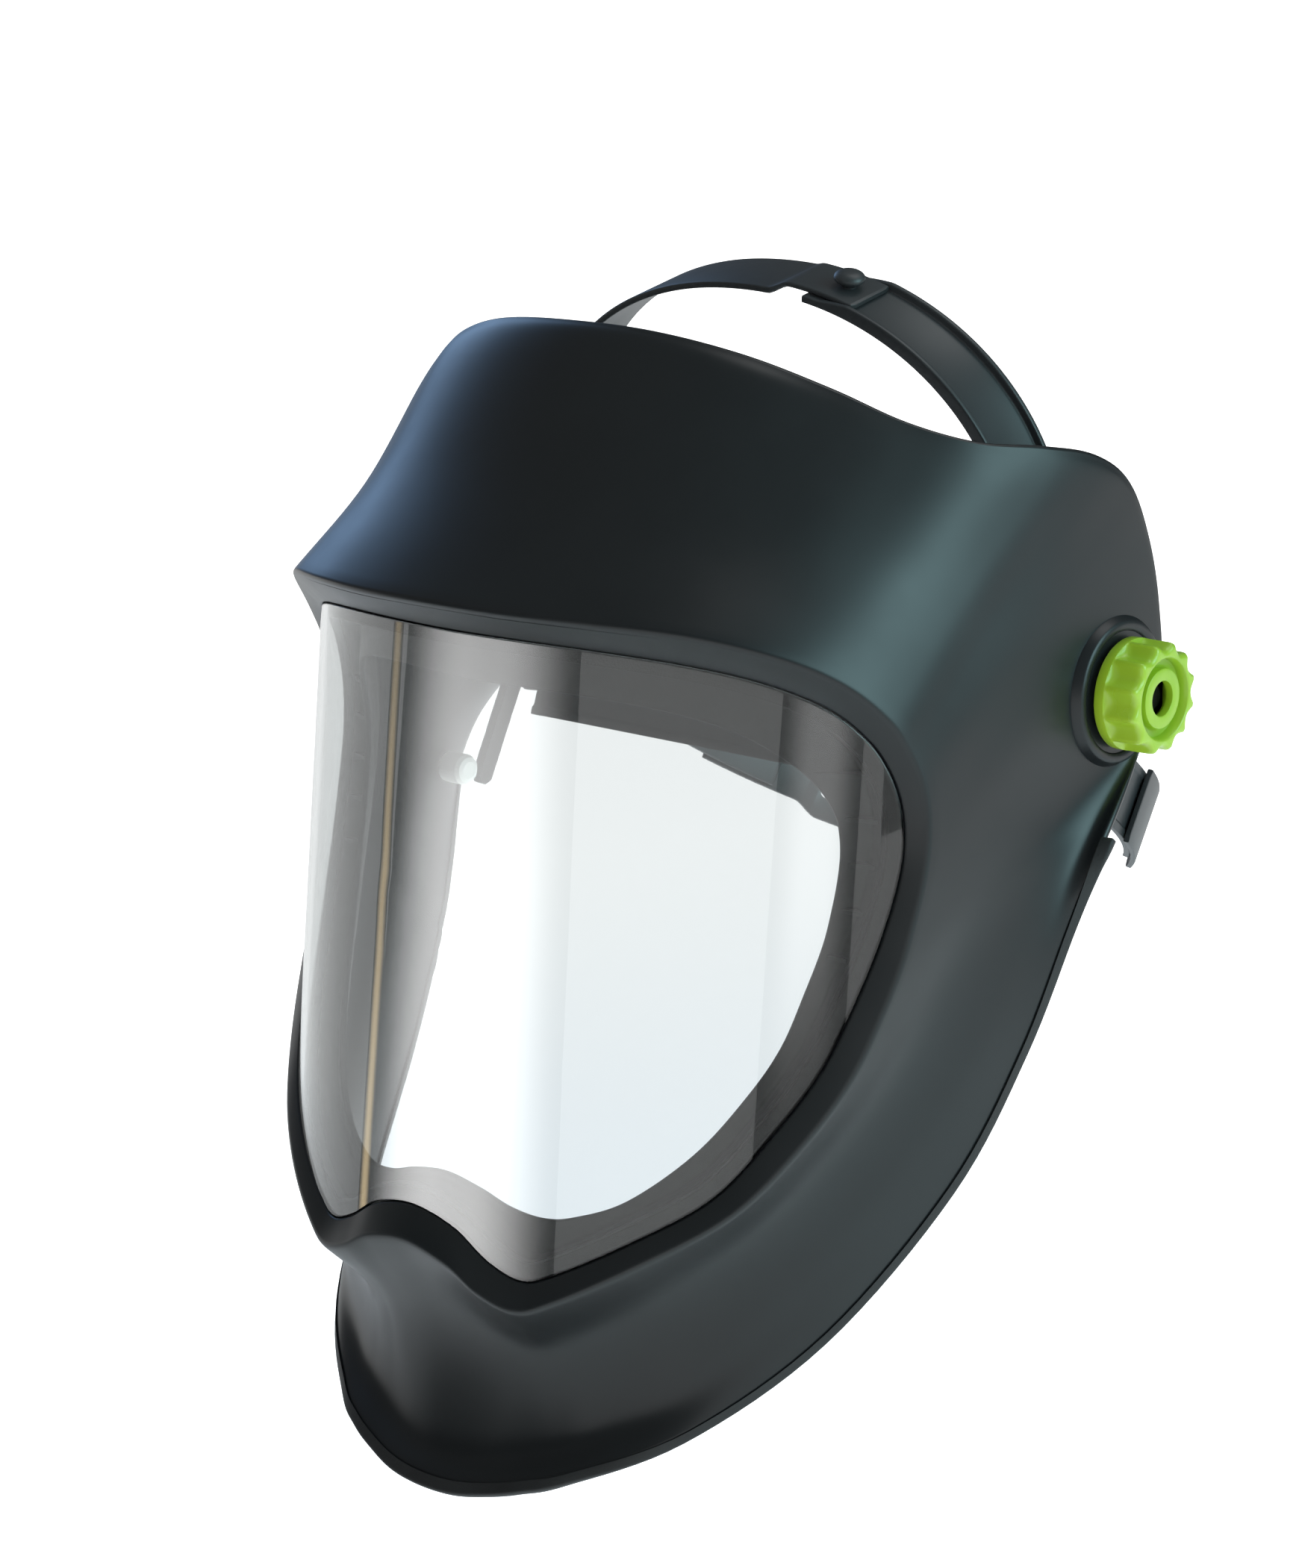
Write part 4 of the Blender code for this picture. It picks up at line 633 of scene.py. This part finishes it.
def rimTrim():
    # a soft bead round the lower edge, from behind one pivot, under the chin, to the other
    rows = shellRows()
    rim = rows[-1]
    out = unit(rim - rows[-2])
    face = gridNormals(rows)[-1]
    t = trimForm
    half = t["thickness"] / 2
    section = [(t["stand"], half), (t["stand"] - 0.3, half + 0.1), (t["width"], half * 0.75),
               (t["width"], -half * 0.75), (t["stand"] - 0.3, -half - 0.1), (t["stand"], -half)]
    section = roundedOutline(section, 0.9, 5)
    keep = slice(t["first"] * columnSteps, len(rim) - t["first"] * columnSteps + 1)
    middle = rim - face * shellForm["wall"] / 2
    grid = sweep(middle[keep], out[keep], face[keep], section)
    return makePiece("edgeBead", [closeEnds(grid)], edgeRubber, 50.0)


seat(rimTrim(), "shell", "trim", "rim_trim")
print("visor and edge made")

# the green pivot knobs, in millimetres
knobForm = {"base": 121.5, "length": 13.5, "radius": 16.0, "flutes": 12, "fluteDepth": 1.9, "landShare": 0.13,
            "flange": 3.4, "hub": 8.6, "hole": 5.0}


def flutedGrid(profile, place, axis, upright, flutes, depth, landShare, steps):
    # a turned profile of (along, radius, share) whose radius dips as a shallow arc in each flute, by the
    # share, and stays whole on the narrow lands between the flutes
    profile = np.asarray(profile, float)
    axis = unit(np.asarray(axis, float))
    side = unit(np.asarray(upright, float))
    other = np.cross(axis, side)
    angle = np.linspace(0, 2 * math.pi, steps, endpoint=False)
    across = ((angle * flutes / (2 * math.pi) + 0.5) % 1 - 0.5) * 2 / (1 - landShare)
    dip = np.clip(1 - across**2, 0, 1)
    radius = profile[:, 1:2] - depth * profile[:, 2:3] * dip
    ring = side * np.cos(angle)[:, None] + other * np.sin(angle)[:, None]
    return np.asarray(place, float) + axis * profile[:, None, :1] + ring[None] * radius[..., None]


def pivotKnob(side, sign):
    # from the shell's side out: a round flange, the fluted grip, a sunk face and the hub with its hole
    k = knobForm
    top = k["length"]
    r = k["radius"]
    f = k["flange"]
    hub = k["hub"]
    hole = k["hole"]
    floor = top - 3.2
    profile = [
        (0, 8.2, 0), (0, r - 0.7, 0), (0.2, r - 0.3, 0), (0.6, r, 0), (f - 0.3, r, 0), (f, r, 0.02),
        (f + 0.25, r - 0.1, 0.35), (f + 0.8, r - 0.1, 0.7), (f + 1.8, r - 0.1, 0.92), (f + 3.0, r - 0.1, 1),
        (top - 2.4, r - 0.15, 1), (top - 1.3, r - 0.3, 1), (top - 0.7, r - 0.6, 1), (top - 0.3, r - 1.0, 1),
        (top - 0.08, r - 1.5, 1), (top, r - 2.0, 0.9), (top, 12.2, 0), (top - 0.1, 11.8, 0),
        (top - 0.4, 11.6, 0), (floor + 0.5, 11.3, 0), (floor + 0.1, 11.1, 0), (floor, 10.7, 0),
        (floor, hub + 0.8, 0), (floor + 0.15, hub + 0.35, 0), (floor + 0.6, hub + 0.15, 0),
        (top - 1.4, hub, 0), (top - 1.05, hub - 0.1, 0), (top - 0.9, hub - 0.45, 0),
        (top - 0.9, hole + 0.5, 0), (top - 1.05, hole + 0.1, 0), (top - 1.4, hole, 0), (10.3, hole, 0),
        (10.3, 6.4, 0), (8.8, 6.4, 0), (8.8, 8.2, 0)]
    grid = flutedGrid(profile, (sign * k["base"], 0, 0), (sign, 0, 0), (0, 0, 1), k["flutes"],
                      k["fluteDepth"], k["landShare"], k["flutes"] * 16)
    return makePiece(side + "GripKnob", [grid], limeNylon, 48.0, ring=True)


for side, sign in sides.items():
    seat(pivotKnob(side, sign), side + "_knob_body", "knob", side + "_knob")
print("knobs made")

# the crown strap: two halves and a peg
crownForm = {"width": 23.0, "wall": 2.0, "rib": 2.2, "ribWidth": 1.8, "halfSpan": 88.9, "straight": 41.0,
             "rise": 70.0, "power": 2.1, "lean": 0.25, "level": 60.0, "y": -4.6, "foot": -31.0,
             "ribStart": 30.0, "ribRun": 10.0, "plateStart": 24.5, "tailStep": 16.0, "tailWall": 1.6,
             "tailEnd": 40.9, "pegX": 33.0, "gap": 0.3, "stem": 2.2}


def crownPath(steps):
    # a straight leg, a superellipse over the head and a straight leg down, in a plane that leans forward
    c = crownForm
    angle = np.linspace(0, math.pi, steps)
    x = np.sign(np.cos(angle)) * np.abs(np.cos(angle)) ** (2 / c["power"]) * c["halfSpan"]
    z = c["straight"] + c["rise"] * np.abs(np.sin(angle)) ** (2 / c["power"])
    leg = np.linspace(c["foot"], c["straight"], 14)[:-1]
    x = np.concatenate([0 * leg + c["halfSpan"], x, 0 * leg - c["halfSpan"]])
    z = np.concatenate([leg, z, leg[::-1]])
    along = unit(np.array([0, -c["lean"], 1.0]))
    across = unit(np.array([0, 1.0, c["lean"]]))
    dx, dz = np.gradient(x), np.gradient(z)
    out = unit(dz[:, None] * np.array([1.0, 0, 0]) - dx[:, None] * along)
    place = (np.array([0, c["y"], c["level"]]) + x[:, None] * np.array([1.0, 0, 0])
             + ((z - c["level"]) / along[2])[:, None] * along)
    return place, out, across, x


def crownHalves():
    # the near half has a rib along both edges; the far half's tail rises over it by an eased step
    c = crownForm
    place, out, across, x = crownPath(240)
    w, half = c["width"] / 2, c["wall"] / 2

    def strapHalf(name, node, keep, corners, radius):
        section = roundedOutline(sectionRows(corners, len(x))[keep], radius, 4)
        grid = sweep(place[keep], out[keep], np.broadcast_to(across, place[keep].shape), section)
        seat(makePiece(name, [closeEnds(grid, 0.5)], strapPlastic), "harness", "strap", node)

    rib = half + c["rib"] * np.clip((x - c["ribStart"]) / c["ribRun"], 0.06, 1)
    channel = w - c["ribWidth"]
    near = [(-half, -w), (-half, w), (rib, w), (rib, channel), (half, channel), (half, -channel),
            (rib, -channel), (rib, -w)]
    strapHalf("crownStrapNear", "crown_strap_left", x > c["plateStart"], near, 0.55)
    rise = ease(np.clip((x - c["tailStep"] + 3.2) / 6, 0, 1))
    low = -half + rise * (2 * half + c["gap"])
    high = half + rise * (c["gap"] + c["tailWall"])
    narrow = w - rise * (c["ribWidth"] + 0.6)
    far = [(low, -narrow), (low, narrow), (high, narrow), (high, -narrow)]
    strapHalf("crownStrapFar", "crown_strap_right", x < c["tailEnd"], far, 0.6)
    spot = np.argmin(np.abs(x - c["pegX"]) + 999 * (place[:, 2] < c["level"]))  # on the arch, not a leg
    top = half + c["gap"] * 2 + c["tailWall"]
    low = -half - c["gap"]
    arc = np.linspace(0, math.pi / 2, 7)[1:]
    dome = [(top + 2.4 + 2.0 * math.sin(a), 0.8 + 3.8 * math.cos(a)) for a in arc]
    profile = [(low - 1.2, nearAxis), (low - 1.2, 3.2), (low - 0.9, 3.7), (low - 0.1, 4.1), (low, 3.8),
               (low, c["stem"]), (top, c["stem"]), (top + 0.2, 2.5), (top + 1.0, 3.6), (top + 1.9, 4.5),
               (top + 2.3, 4.6), *dome, (top + 4.4, nearAxis)]
    peg = makePiece("crownPeg", [turnedGrid(profile, place[spot], out[spot], 48)], strapPlastic)
    seat(peg, "harness", "strap", "crown_peg")


crownHalves()

# the headband round the head: a long curve ahead of the ears and a circle that tips down behind them
bandForm = {"halfWidth": 86.5, "front": 79.0, "middle": 42.0, "slope": 0.31, "tilt": 31.0, "half": 15.0,
            "tailHalf": 11.0, "tail": 34.0, "wall": 2.2, "panel": 0.45}
tilt = math.radians(bandForm["tilt"])
rearCentre = np.array([0, bandForm["middle"], -bandForm["slope"] * (bandForm["middle"] + bandForm["front"])])
rearBack = np.array([0, math.cos(tilt), -math.sin(tilt)])
rearUp = np.array([0, math.sin(tilt), math.cos(tilt)])
frontUp = unit(np.array([0, bandForm["slope"], 1.0]))


def frontPath(turn):  # degrees from straight ahead: a half ellipse that drops as it goes back
    b = bandForm
    t = np.radians(turn)
    deep = b["middle"] + b["front"]
    y = b["middle"] - deep * np.cos(t)
    place = np.stack([b["halfWidth"] * np.sin(t), y, -b["slope"] * (y + b["front"])], -1)
    out = unit(np.stack([deep * np.sin(t), -b["halfWidth"] * np.cos(t), 0 * t], -1))
    share = (np.minimum(1, np.abs(turn) / 90) ** 3)[:, None]
    return place, out, unit(frontUp * (1 - share) + rearUp * share)


def rearPath(angle, radius=0.0):  # degrees from straight left towards the back: part of a tipped circle
    a = np.radians(angle)[:, None]
    out = np.cos(a) * np.array([1.0, 0, 0]) + np.sin(a) * rearBack
    return rearCentre + out * radius, out, np.broadcast_to(rearUp, out.shape)


def headBand():
    # tail, front curve and tail as one path, with a section that is a little thinner in its middle
    b = bandForm
    turn = np.linspace(-90, 90, 121)
    tail = np.linspace(b["tail"], 0.8, 24)
    pieces = [rearPath(180 - tail, b["halfWidth"]), frontPath(turn), rearPath(tail[::-1], b["halfWidth"])]
    place, out, up = (np.concatenate(parts) for parts in zip(*pieces))
    drop = (b["half"] - b["tailHalf"]) * np.clip((np.abs(turn) - 50) / 40, 0, 1)
    half = np.concatenate([0 * tail + b["tailHalf"], b["half"] - drop, 0 * tail + b["tailHalf"]])
    wall = b["wall"] / 2
    face = wall - b["panel"]
    corners = [(-wall, -half), (wall, -half), (wall, 2.4 - half), (face, 3.0 - half), (face, half - 3.0),
               (wall, half - 2.4), (wall, half), (-wall, half)]
    section = roundedOutline(sectionRows(corners, len(half)), 0.5, 4)
    grid = closeEnds(sweep(place, out, up, section), 0.5)
    seat(makePiece("headBand", [grid], strapPlastic), "harness", "strap", "headband")


headBand()
print("harness straps made")

# padded pieces, swelled by cloth simulation
padForm = {"voxel": 0.0024, "pressure": 4.0, "frames": 20, "cap": 0.0022, "glue": 1.2, "seamDepth": 0.0007,
           "seamWidth": 0.9, "offSeam": 9.0}
bandPad = {"half": 16.2, "thick": 4.4, "turn": 59.0, "back": 1.7, "taper": 0.35, "seamInset": 3.2,
           "seamTurn": 55.0}
rearPad = {"inside": 78.6, "outside": 83.6, "half": 21.2, "innerHalf": 19.4, "turn": 33.0, "seamHalf": 16.5,
           "seamTurn": 29.5}


def meshPoints(mesh):
    flat = np.empty(len(mesh.vertices) * 3, np.float32)
    mesh.vertices.foreach_get("co", flat)
    return flat.reshape(-1, 3).astype(float)


def swell(piece, backOf):
    # backOf gives how far each point stands in front of the pad's back, which is glued down
    p = padForm
    skinOver = piece.modifiers.new("remesh", "REMESH")
    skinOver.mode = "VOXEL"
    skinOver.voxel_size = p["voxel"]
    applyModifiers(piece)
    start = meshPoints(piece.data)
    hold = piece.vertex_groups.new(name="glued")
    for index in np.flatnonzero(backOf(start / mm) < p["glue"]).tolist():
        hold.add([index], 1.0, "REPLACE")
    cloth = piece.modifiers.new("cloth", "CLOTH")
    cloth.settings.use_pressure = True
    cloth.settings.uniform_pressure_force = p["pressure"]
    cloth.settings.effector_weights.gravity = 0.0
    cloth.settings.vertex_group_mass = "glued"
    cloth.point_cache.frame_end = p["frames"]
    for number in range(1, p["frames"] + 1):
        bpy.context.scene.frame_set(number)
    applyModifiers(piece)
    bpy.context.scene.frame_set(1)
    moved = meshPoints(piece.data) - start
    length = np.linalg.norm(moved, axis=1, keepdims=True)
    moved *= np.minimum(1, p["cap"] / np.maximum(length, 1e-9))
    return start + moved


def sewnPad(name, grid, seamAt, body, node, backOf):
    # a soft closed form; after it swells, a sewn channel is pressed in along its edge
    piece = makePiece(name, [grid], padKnit, 180.0)
    place = swell(piece, backOf)
    near, inward = seamAt(place / mm)
    place = place + inward * (np.exp(-(near / padForm["seamWidth"]) ** 2) * padForm["seamDepth"])[:, None]
    piece.data.vertices.foreach_set("co", place.astype(np.float32).ravel())
    piece.data.materials.clear()
    piece.data.materials.append(padKnit)
    piece.vertex_groups.clear()
    piece.data.shade_smooth()
    finer = piece.modifiers.new("finer", "SUBSURF")
    finer.levels = 1
    finer.render_levels = 1
    seat(piece, body, "padding", node)


def bandPlace(place):
    # turn round the front curve, stand-off from the headband's middle and height, for points near it
    b = bandForm
    deep = b["middle"] + b["front"]
    turn = np.degrees(np.arctan2(place[:, 0] / b["halfWidth"], (b["middle"] - place[:, 1]) / deep))
    middle, out, up = frontPath(turn)
    away = place - middle
    return turn, (away * out).sum(1), (away * up).sum(1), out


def bandFade(turn):  # the sweat pad narrows towards its ends
    return 1 - bandPad["taper"] * (turn / 60) ** 4


def sweatPad():
    p = bandPad
    turn = np.linspace(-p["turn"], p["turn"], 90)
    half = p["half"] * bandFade(turn)
    face = -p["back"] - p["thick"] * bandFade(turn)
    corners = [(-p["back"], -half), (-p["back"], half), (face, half - 1.2), (face, 1.2 - half)]
    section = roundedOutline(sectionRows(corners, len(turn)), 2.0, 6)
    grid = closeEnds(sweep(*frontPath(turn), section), 1.0)

    def back(place):
        return 0.2 - p["back"] - bandPlace(place)[1]

    def seam(place):
        turn, off, height, out = bandPlace(place)
        edge = p["half"] * bandFade(turn) - p["seamInset"]
        near = np.minimum(np.abs(np.abs(height) - edge), np.abs(np.abs(turn) - p["seamTurn"]) * 1.5)
        return near + padForm["offSeam"] * (off > -3.5), out
    sewnPad("sweatPad", grid, seam, "harness", "sweatband", back)


def rearPlace(place):  # distance from the rear axis, height, outward way and angle, for points near it
    away = place - rearCentre
    level = away @ rearUp
    flat = away - level[:, None] * rearUp
    angle = np.degrees(np.arctan2(flat @ rearBack, flat[:, 0]))
    return np.linalg.norm(flat, axis=1), level, unit(flat), angle


def rearCushion():
    p = rearPad
    angle = np.linspace(90 - p["turn"], 90 + p["turn"], 56)
    corners = [(p["outside"], -p["half"]), (p["outside"], p["half"]), (p["inside"], p["innerHalf"]),
               (p["inside"], -p["innerHalf"])]
    grid = closeEnds(sweep(*rearPath(angle), roundedOutline(corners, 2.2, 6)), 1.0)

    def back(place):
        return p["outside"] + 0.2 - rearPlace(place)[0]

    def seam(place):
        radius, level, out, angle = rearPlace(place)
        near = np.minimum(np.abs(np.abs(level) - p["seamHalf"]),
                          np.abs(np.abs(angle - 90) - p["seamTurn"]) * 1.4)
        return near + padForm["offSeam"] * (radius > p["outside"] - 2.0), out
    sewnPad("rearCushion", grid, seam, "harness", "rear_pad", back)


sweatPad()
rearCushion()
print("pads made")

# toothed straps behind the head
rackForm = {"inside": 88.0, "wall": 1.8, "half": 12.0, "outer": 15.4, "start": 16.0, "shoulder": 40.0,
            "rack": 46.0, "end": 110.0, "module": 1.2, "teeth": 10}


def rackStrap(side, sign):
    # a strap bent round the rear circle; its lower edge steps up to the teeth, which repeat by angle
    r = rackForm
    angle = np.concatenate([np.linspace(r["start"], r["rack"], 50)[:-1],
                            np.linspace(r["rack"], r["end"] - 0.6, 520)])
    pitchRadius = r["module"] * r["teeth"] / 2
    pitch = math.degrees(r["module"] * math.pi / (r["inside"] + r["wall"] / 2))
    turn = np.abs((angle - 90 + pitch / 2) % pitch - pitch / 2) / pitch
    root = pitchRadius + 1.25 * r["module"] + 0.2
    tip = pitchRadius - 0.8 * r["module"]
    edge = root + (tip - root) * ease(np.clip((turn - 0.29) / 0.1, 0, 1))
    edge = np.where(angle < r["rack"] + 1.5, root, edge)
    share = ease(np.clip((angle - r["shoulder"]) / (r["rack"] - r["shoulder"]), 0, 1))
    low = -r["half"] + (edge + r["half"]) * share
    high = r["half"] + (r["outer"] - r["half"]) * share
    inner, outer = r["inside"], r["inside"] + r["wall"]
    corners = [(inner, sign * low), (outer, sign * low), (outer, sign * high), (inner, sign * high)]
    section = roundedOutline(sectionRows(corners, len(angle)), 0.4, 3)
    grid = closeEnds(sweep(*rearPath(90 - sign * (90 - angle)), section), 0.5)
    piece = makePiece(side + "ToothedStrap", [grid], strapPlastic)
    seat(piece, side + "_strap", "strap", side + "_rack_strap")


for side, sign in sides.items():
    rackStrap(side, sign)

# the ratchet case and its hand wheel
caseForm = {"angle": 22.0, "half": 19.0, "inside": 84.6, "floor": 87.5, "lips": 90.7, "channel": 16.6,
            "coverLow": 91.0, "coverHigh": 93.2, "shaft": 3.7, "knobLow": 94.6, "knobHigh": 105.6,
            "knobRadius": 18.0, "knobFloor": 100.5, "lobes": 10, "lobeDepth": 1.6, "lobeLand": 0.25,
            "squareness": 0.3}


def ratchetCase():  # a channel section carried along the rear circle
    c = caseForm
    angle = np.linspace(90 - c["angle"], 90 + c["angle"], 60)
    corners = [(c["inside"], -c["half"]), (c["lips"], -c["half"]), (c["lips"], -c["channel"]),
               (c["floor"], -c["channel"]), (c["floor"], c["channel"]), (c["lips"], c["channel"]),
               (c["lips"], c["half"]), (c["inside"], c["half"])]
    grid = sweep(*rearPath(angle), roundedOutline(corners, 0.7, 5))
    seat(makePiece("ratchetCase", [grid], frameNylon), "harness", "frame", "ratchet_housing")


def ratchetLid():
    # a rounded rectangle wrapped on the case, morphed ring by ring into the round shaft hole
    c = caseForm
    turn = np.linspace(0, 2 * math.pi, 192, endpoint=False)
    wide = math.radians(c["angle"]) * c["coverHigh"]
    circle = np.stack([np.cos(turn), np.sin(turn)], -1)
    outline = np.sign(circle) * np.abs(circle) ** c["squareness"] * [wide, c["half"]]
    hole = circle * c["shaft"]
    high, low = c["coverHigh"], c["coverLow"]
    rings = [(0.0, low), (0.5, low), (0.985, low), (1.0, low + 0.3), (1.0, high - 0.9), (0.992, high - 0.4),
             (0.975, high - 0.1), (0.95, high), (0.8, high), (0.55, high), (0.3, high), (0.02, high),
             (0.0, high - 0.2)]
    rows = []
    for share, radius in rings:
        flat = hole + (outline - hole) * share
        _, out, up = rearPath(90 - np.degrees(flat[:, 0] / c["coverHigh"]))
        rows.append(rearCentre + out * radius + up * flat[:, 1:])
    lid = makePiece("ratchetLid", [np.stack(rows)], frameNylon, 50.0, ring=True)
    seat(lid, "harness", "frame", "ratchet_cover")


def ratchetWheel():  # a fluted wheel turned on the rear axis, with a dished face
    c = caseForm
    low, high, r = c["knobLow"], c["knobHigh"], c["knobRadius"]
    profile = [(c["knobFloor"], nearAxis, 0), (c["knobFloor"], c["shaft"], 0), (low, c["shaft"], 0),
               (low, r - 1.6, 0.4), (low + 0.3, r - 0.8, 0.8), (low + 1.0, r - 0.1, 1), (low + 1.6, r, 1),
               (high - 3.0, r - 0.4, 1), (high - 1.8, r - 0.8, 1), (high - 0.9, r - 1.5, 0.95),
               (high - 0.3, r - 2.6, 0.8), (high, r - 4.0, 0.5), (high, 11.0, 0), (high - 0.3, 10.6, 0),
               (high - 1.3, 10.0, 0), (high - 1.6, 9.0, 0), (high - 1.2, 4.0, 0), (high - 1.1, nearAxis, 0)]
    grid = flutedGrid(profile, rearCentre, rearBack, rearUp, c["lobes"], c["lobeDepth"], c["lobeLand"],
                      c["lobes"] * 16)
    wheel = makePiece("ratchetWheel", [grid], strapPlastic, 48.0)
    seat(wheel, "ratchet_drive", "strap", "ratchet_knob")


ratchetCase()
ratchetLid()
ratchetWheel()
print("ratchet made")

# kept pieces of the frame model get their real finish
finishes = {
    "frame_screw": zincSteel, "guide_screw": zincSteel, "pivot_bolt": blackSteel, "knob_nut": blackSteel,
    "spring_washer": zincSteel, "friction_washer": acetal, "pivot_bush": acetal, "stop_peg": acetal,
    "guide": frameNylon, "carriage": frameNylon, "ratchet_spring": zincSteel, "ratchet_pinion": acetal,
}
for name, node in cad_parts.items():
    if node.hide_render:
        continue
    look = next((finishes[key] for key in finishes if key in name), strapPlastic)
    node.data.materials.clear()
    node.data.materials.append(look)
print("kept pieces finished")

# floor, light and camera, in metres
studio = {"floorDrop": 0.42, "floorSize": 600.0, "floorTone": "#f4f5f5", "floorGlow": 0.8, "airGlow": 1.0,
          "glossShare": 0.1}


def dimForGloss(tree, strength):
    # the studio's pale floor and air glow at full strength for the eye, and at the gloss share of that in
    # glossy reflections
    path = addNode(tree, "ShaderNodeLightPath")
    node = addNode(tree, "ShaderNodeMapRange", None, {
        "Value": path.outputs["Is Glossy Ray"], "To Min": strength,
        "To Max": strength * studio["glossShare"]})
    return node.outputs["Result"]


def stagePiece(name, mesh, look):
    mesh.materials.append(look)
    piece = bpy.data.objects.new(name, mesh)
    bpy.context.scene.collection.objects.link(piece)
    return piece


def paleFloor():  # one level square below the object
    look, tree, shader = newMaterial("paleSweep", {"Roughness": 0.9, "Specular IOR Level": 0.0,
                                                   "Base Color": srgb(studio["floorTone"])})
    shader.inputs["Emission Color"].default_value = srgb("#ffffff")
    tree.links.new(dimForGloss(tree, studio["floorGlow"]), shader.inputs["Emission Strength"])
    half = studio["floorSize"] / 2
    low = cadBounds[0][2] - studio["floorDrop"]
    mesh = bpy.data.meshes.new("floor")
    mesh.from_pydata([(-half, -half, low), (half, -half, low), (half, half, low), (-half, half, low)], [],
                     [(0, 1, 2, 3)])
    stagePiece("floor", mesh, look)


paleFloor()
aim = np.array([0.0, -0.05, -0.05])


def softbox(name, azimuth, elevation, distance, width, height, power, tone, fade=0.4, only=None):
    # a lit sheet facing the object, which dims over the fade share towards its edges and may light one
    # piece only; azimuth is turned from straight ahead towards the wearer's left
    a, e = math.radians(azimuth), math.radians(elevation)
    way = np.array([math.sin(a) * math.cos(e), -math.cos(a) * math.cos(e), math.sin(e)])
    look, tree, emission = newMaterial(name + "Cloth", {"Color": srgb(tone)}, "ShaderNodeEmission")
    place = addNode(tree, "ShaderNodeTexCoord").outputs["Object"]
    parts = addNode(tree, "ShaderNodeSeparateXYZ", None, {"Vector": place})
    share = []
    for axis, size in (("X", width), ("Y", height)):
        away = addNode(tree, "ShaderNodeMath", {"operation": "ABSOLUTE"}, {0: parts.outputs[axis]})
        soft = addNode(tree, "ShaderNodeMapRange", {"interpolation_type": "SMOOTHSTEP"}, {
            "Value": away.outputs[0], "From Min": size / 2 * (1 - 2 * fade), "From Max": size / 2,
            "To Min": 1.0, "To Max": 0.0})
        share.append(soft.outputs["Result"])
    both = addNode(tree, "ShaderNodeMath", {"operation": "MULTIPLY"}, {0: share[0], 1: share[1]})
    face = addNode(tree, "ShaderNodeNewGeometry")
    front = addNode(tree, "ShaderNodeMapRange", None, {
        "Value": face.outputs["Backfacing"], "To Min": power, "To Max": 0.0})
    glow = addNode(tree, "ShaderNodeMath", {"operation": "MULTIPLY"},
                   {0: both.outputs[0], 1: front.outputs["Result"]})
    tree.links.new(glow.outputs[0], emission.inputs["Strength"])
    w, h = width / 2, height / 2
    mesh = bpy.data.meshes.new(name)
    mesh.from_pydata([(-w, -h, 0), (w, -h, 0), (w, h, 0), (-w, h, 0)], [], [(0, 3, 2, 1)])
    sheet = stagePiece(name, mesh, look)
    sheet.location = aim + way * distance
    sheet.rotation_euler = (math.pi / 2 - e, 0, a)
    sheet.visible_camera = False
    sheet.visible_transmission = False
    sheet.visible_shadow = False
    if only:
        lit = bpy.data.collections.new(name + "Lights")
        lit.objects.link(only)
        sheet.light_linking.receiver_collection = lit


softbox("lensSheet", -28, -24, 1.3, 1.5, 2.4, 9.0, "#ffffff", 0.42, visor)
softbox("warmStrip", -60, -22, 1.35, 0.11, 1.7, 4.0, "#ffe3ad", 0.45, visor)
softbox("leftBlue", -108, 26, 1.5, 1.1, 1.4, 4.5, "#86a6cc")
softbox("rightTeal", 102, 24, 1.5, 1.5, 1.9, 8.0, "#a6cdd2")
softbox("knobSheet", 62, -4, 1.6, 0.6, 0.6, 2.0, "#ffffff")
softbox("chinSheet", -20, -50, 1.2, 0.7, 0.5, 1.6, "#ffffff")
softbox("topSheet", 150, 70, 1.8, 1.4, 1.4, 2.4, "#ffffff")

world = bpy.data.worlds.new("studioAir")
bpy.context.scene.world = world
world.use_nodes = True
air = world.node_tree
air.nodes["Background"].inputs["Color"].default_value = srgb("#ffffff")
air.links.new(dimForGloss(air, studio["airGlow"]), air.nodes["Background"].inputs["Strength"])
bpy.context.scene.view_settings.view_transform = "Standard"

view = {"azimuth": 42.0, "elevation": 13.5, "distance": 1.023, "across": -0.0438, "rise": -0.0447,
        "lens": 77.1}


def addCamera():
    # stands back from the pivots' middle along the view, moved across and up by the framing
    a, e = math.radians(view["azimuth"]), math.radians(view["elevation"])
    right = np.array([math.cos(a), math.sin(a), 0.0])
    up = np.array([-math.sin(a) * math.sin(e), math.cos(a) * math.sin(e), math.cos(e)])
    back = np.array([math.sin(a) * math.cos(e), -math.cos(a) * math.cos(e), math.sin(e)])
    lensData = bpy.data.cameras.new("camera")
    lensData.lens = view["lens"]
    lensData.sensor_width = 36.0
    lensData.clip_start = 0.05
    camera = bpy.data.objects.new("camera", lensData)
    camera.location = right * view["across"] + up * view["rise"] + back * view["distance"]
    camera.rotation_euler = (math.pi / 2 - e, 0, a)
    bpy.context.scene.collection.objects.link(camera)
    bpy.context.scene.camera = camera


addCamera()
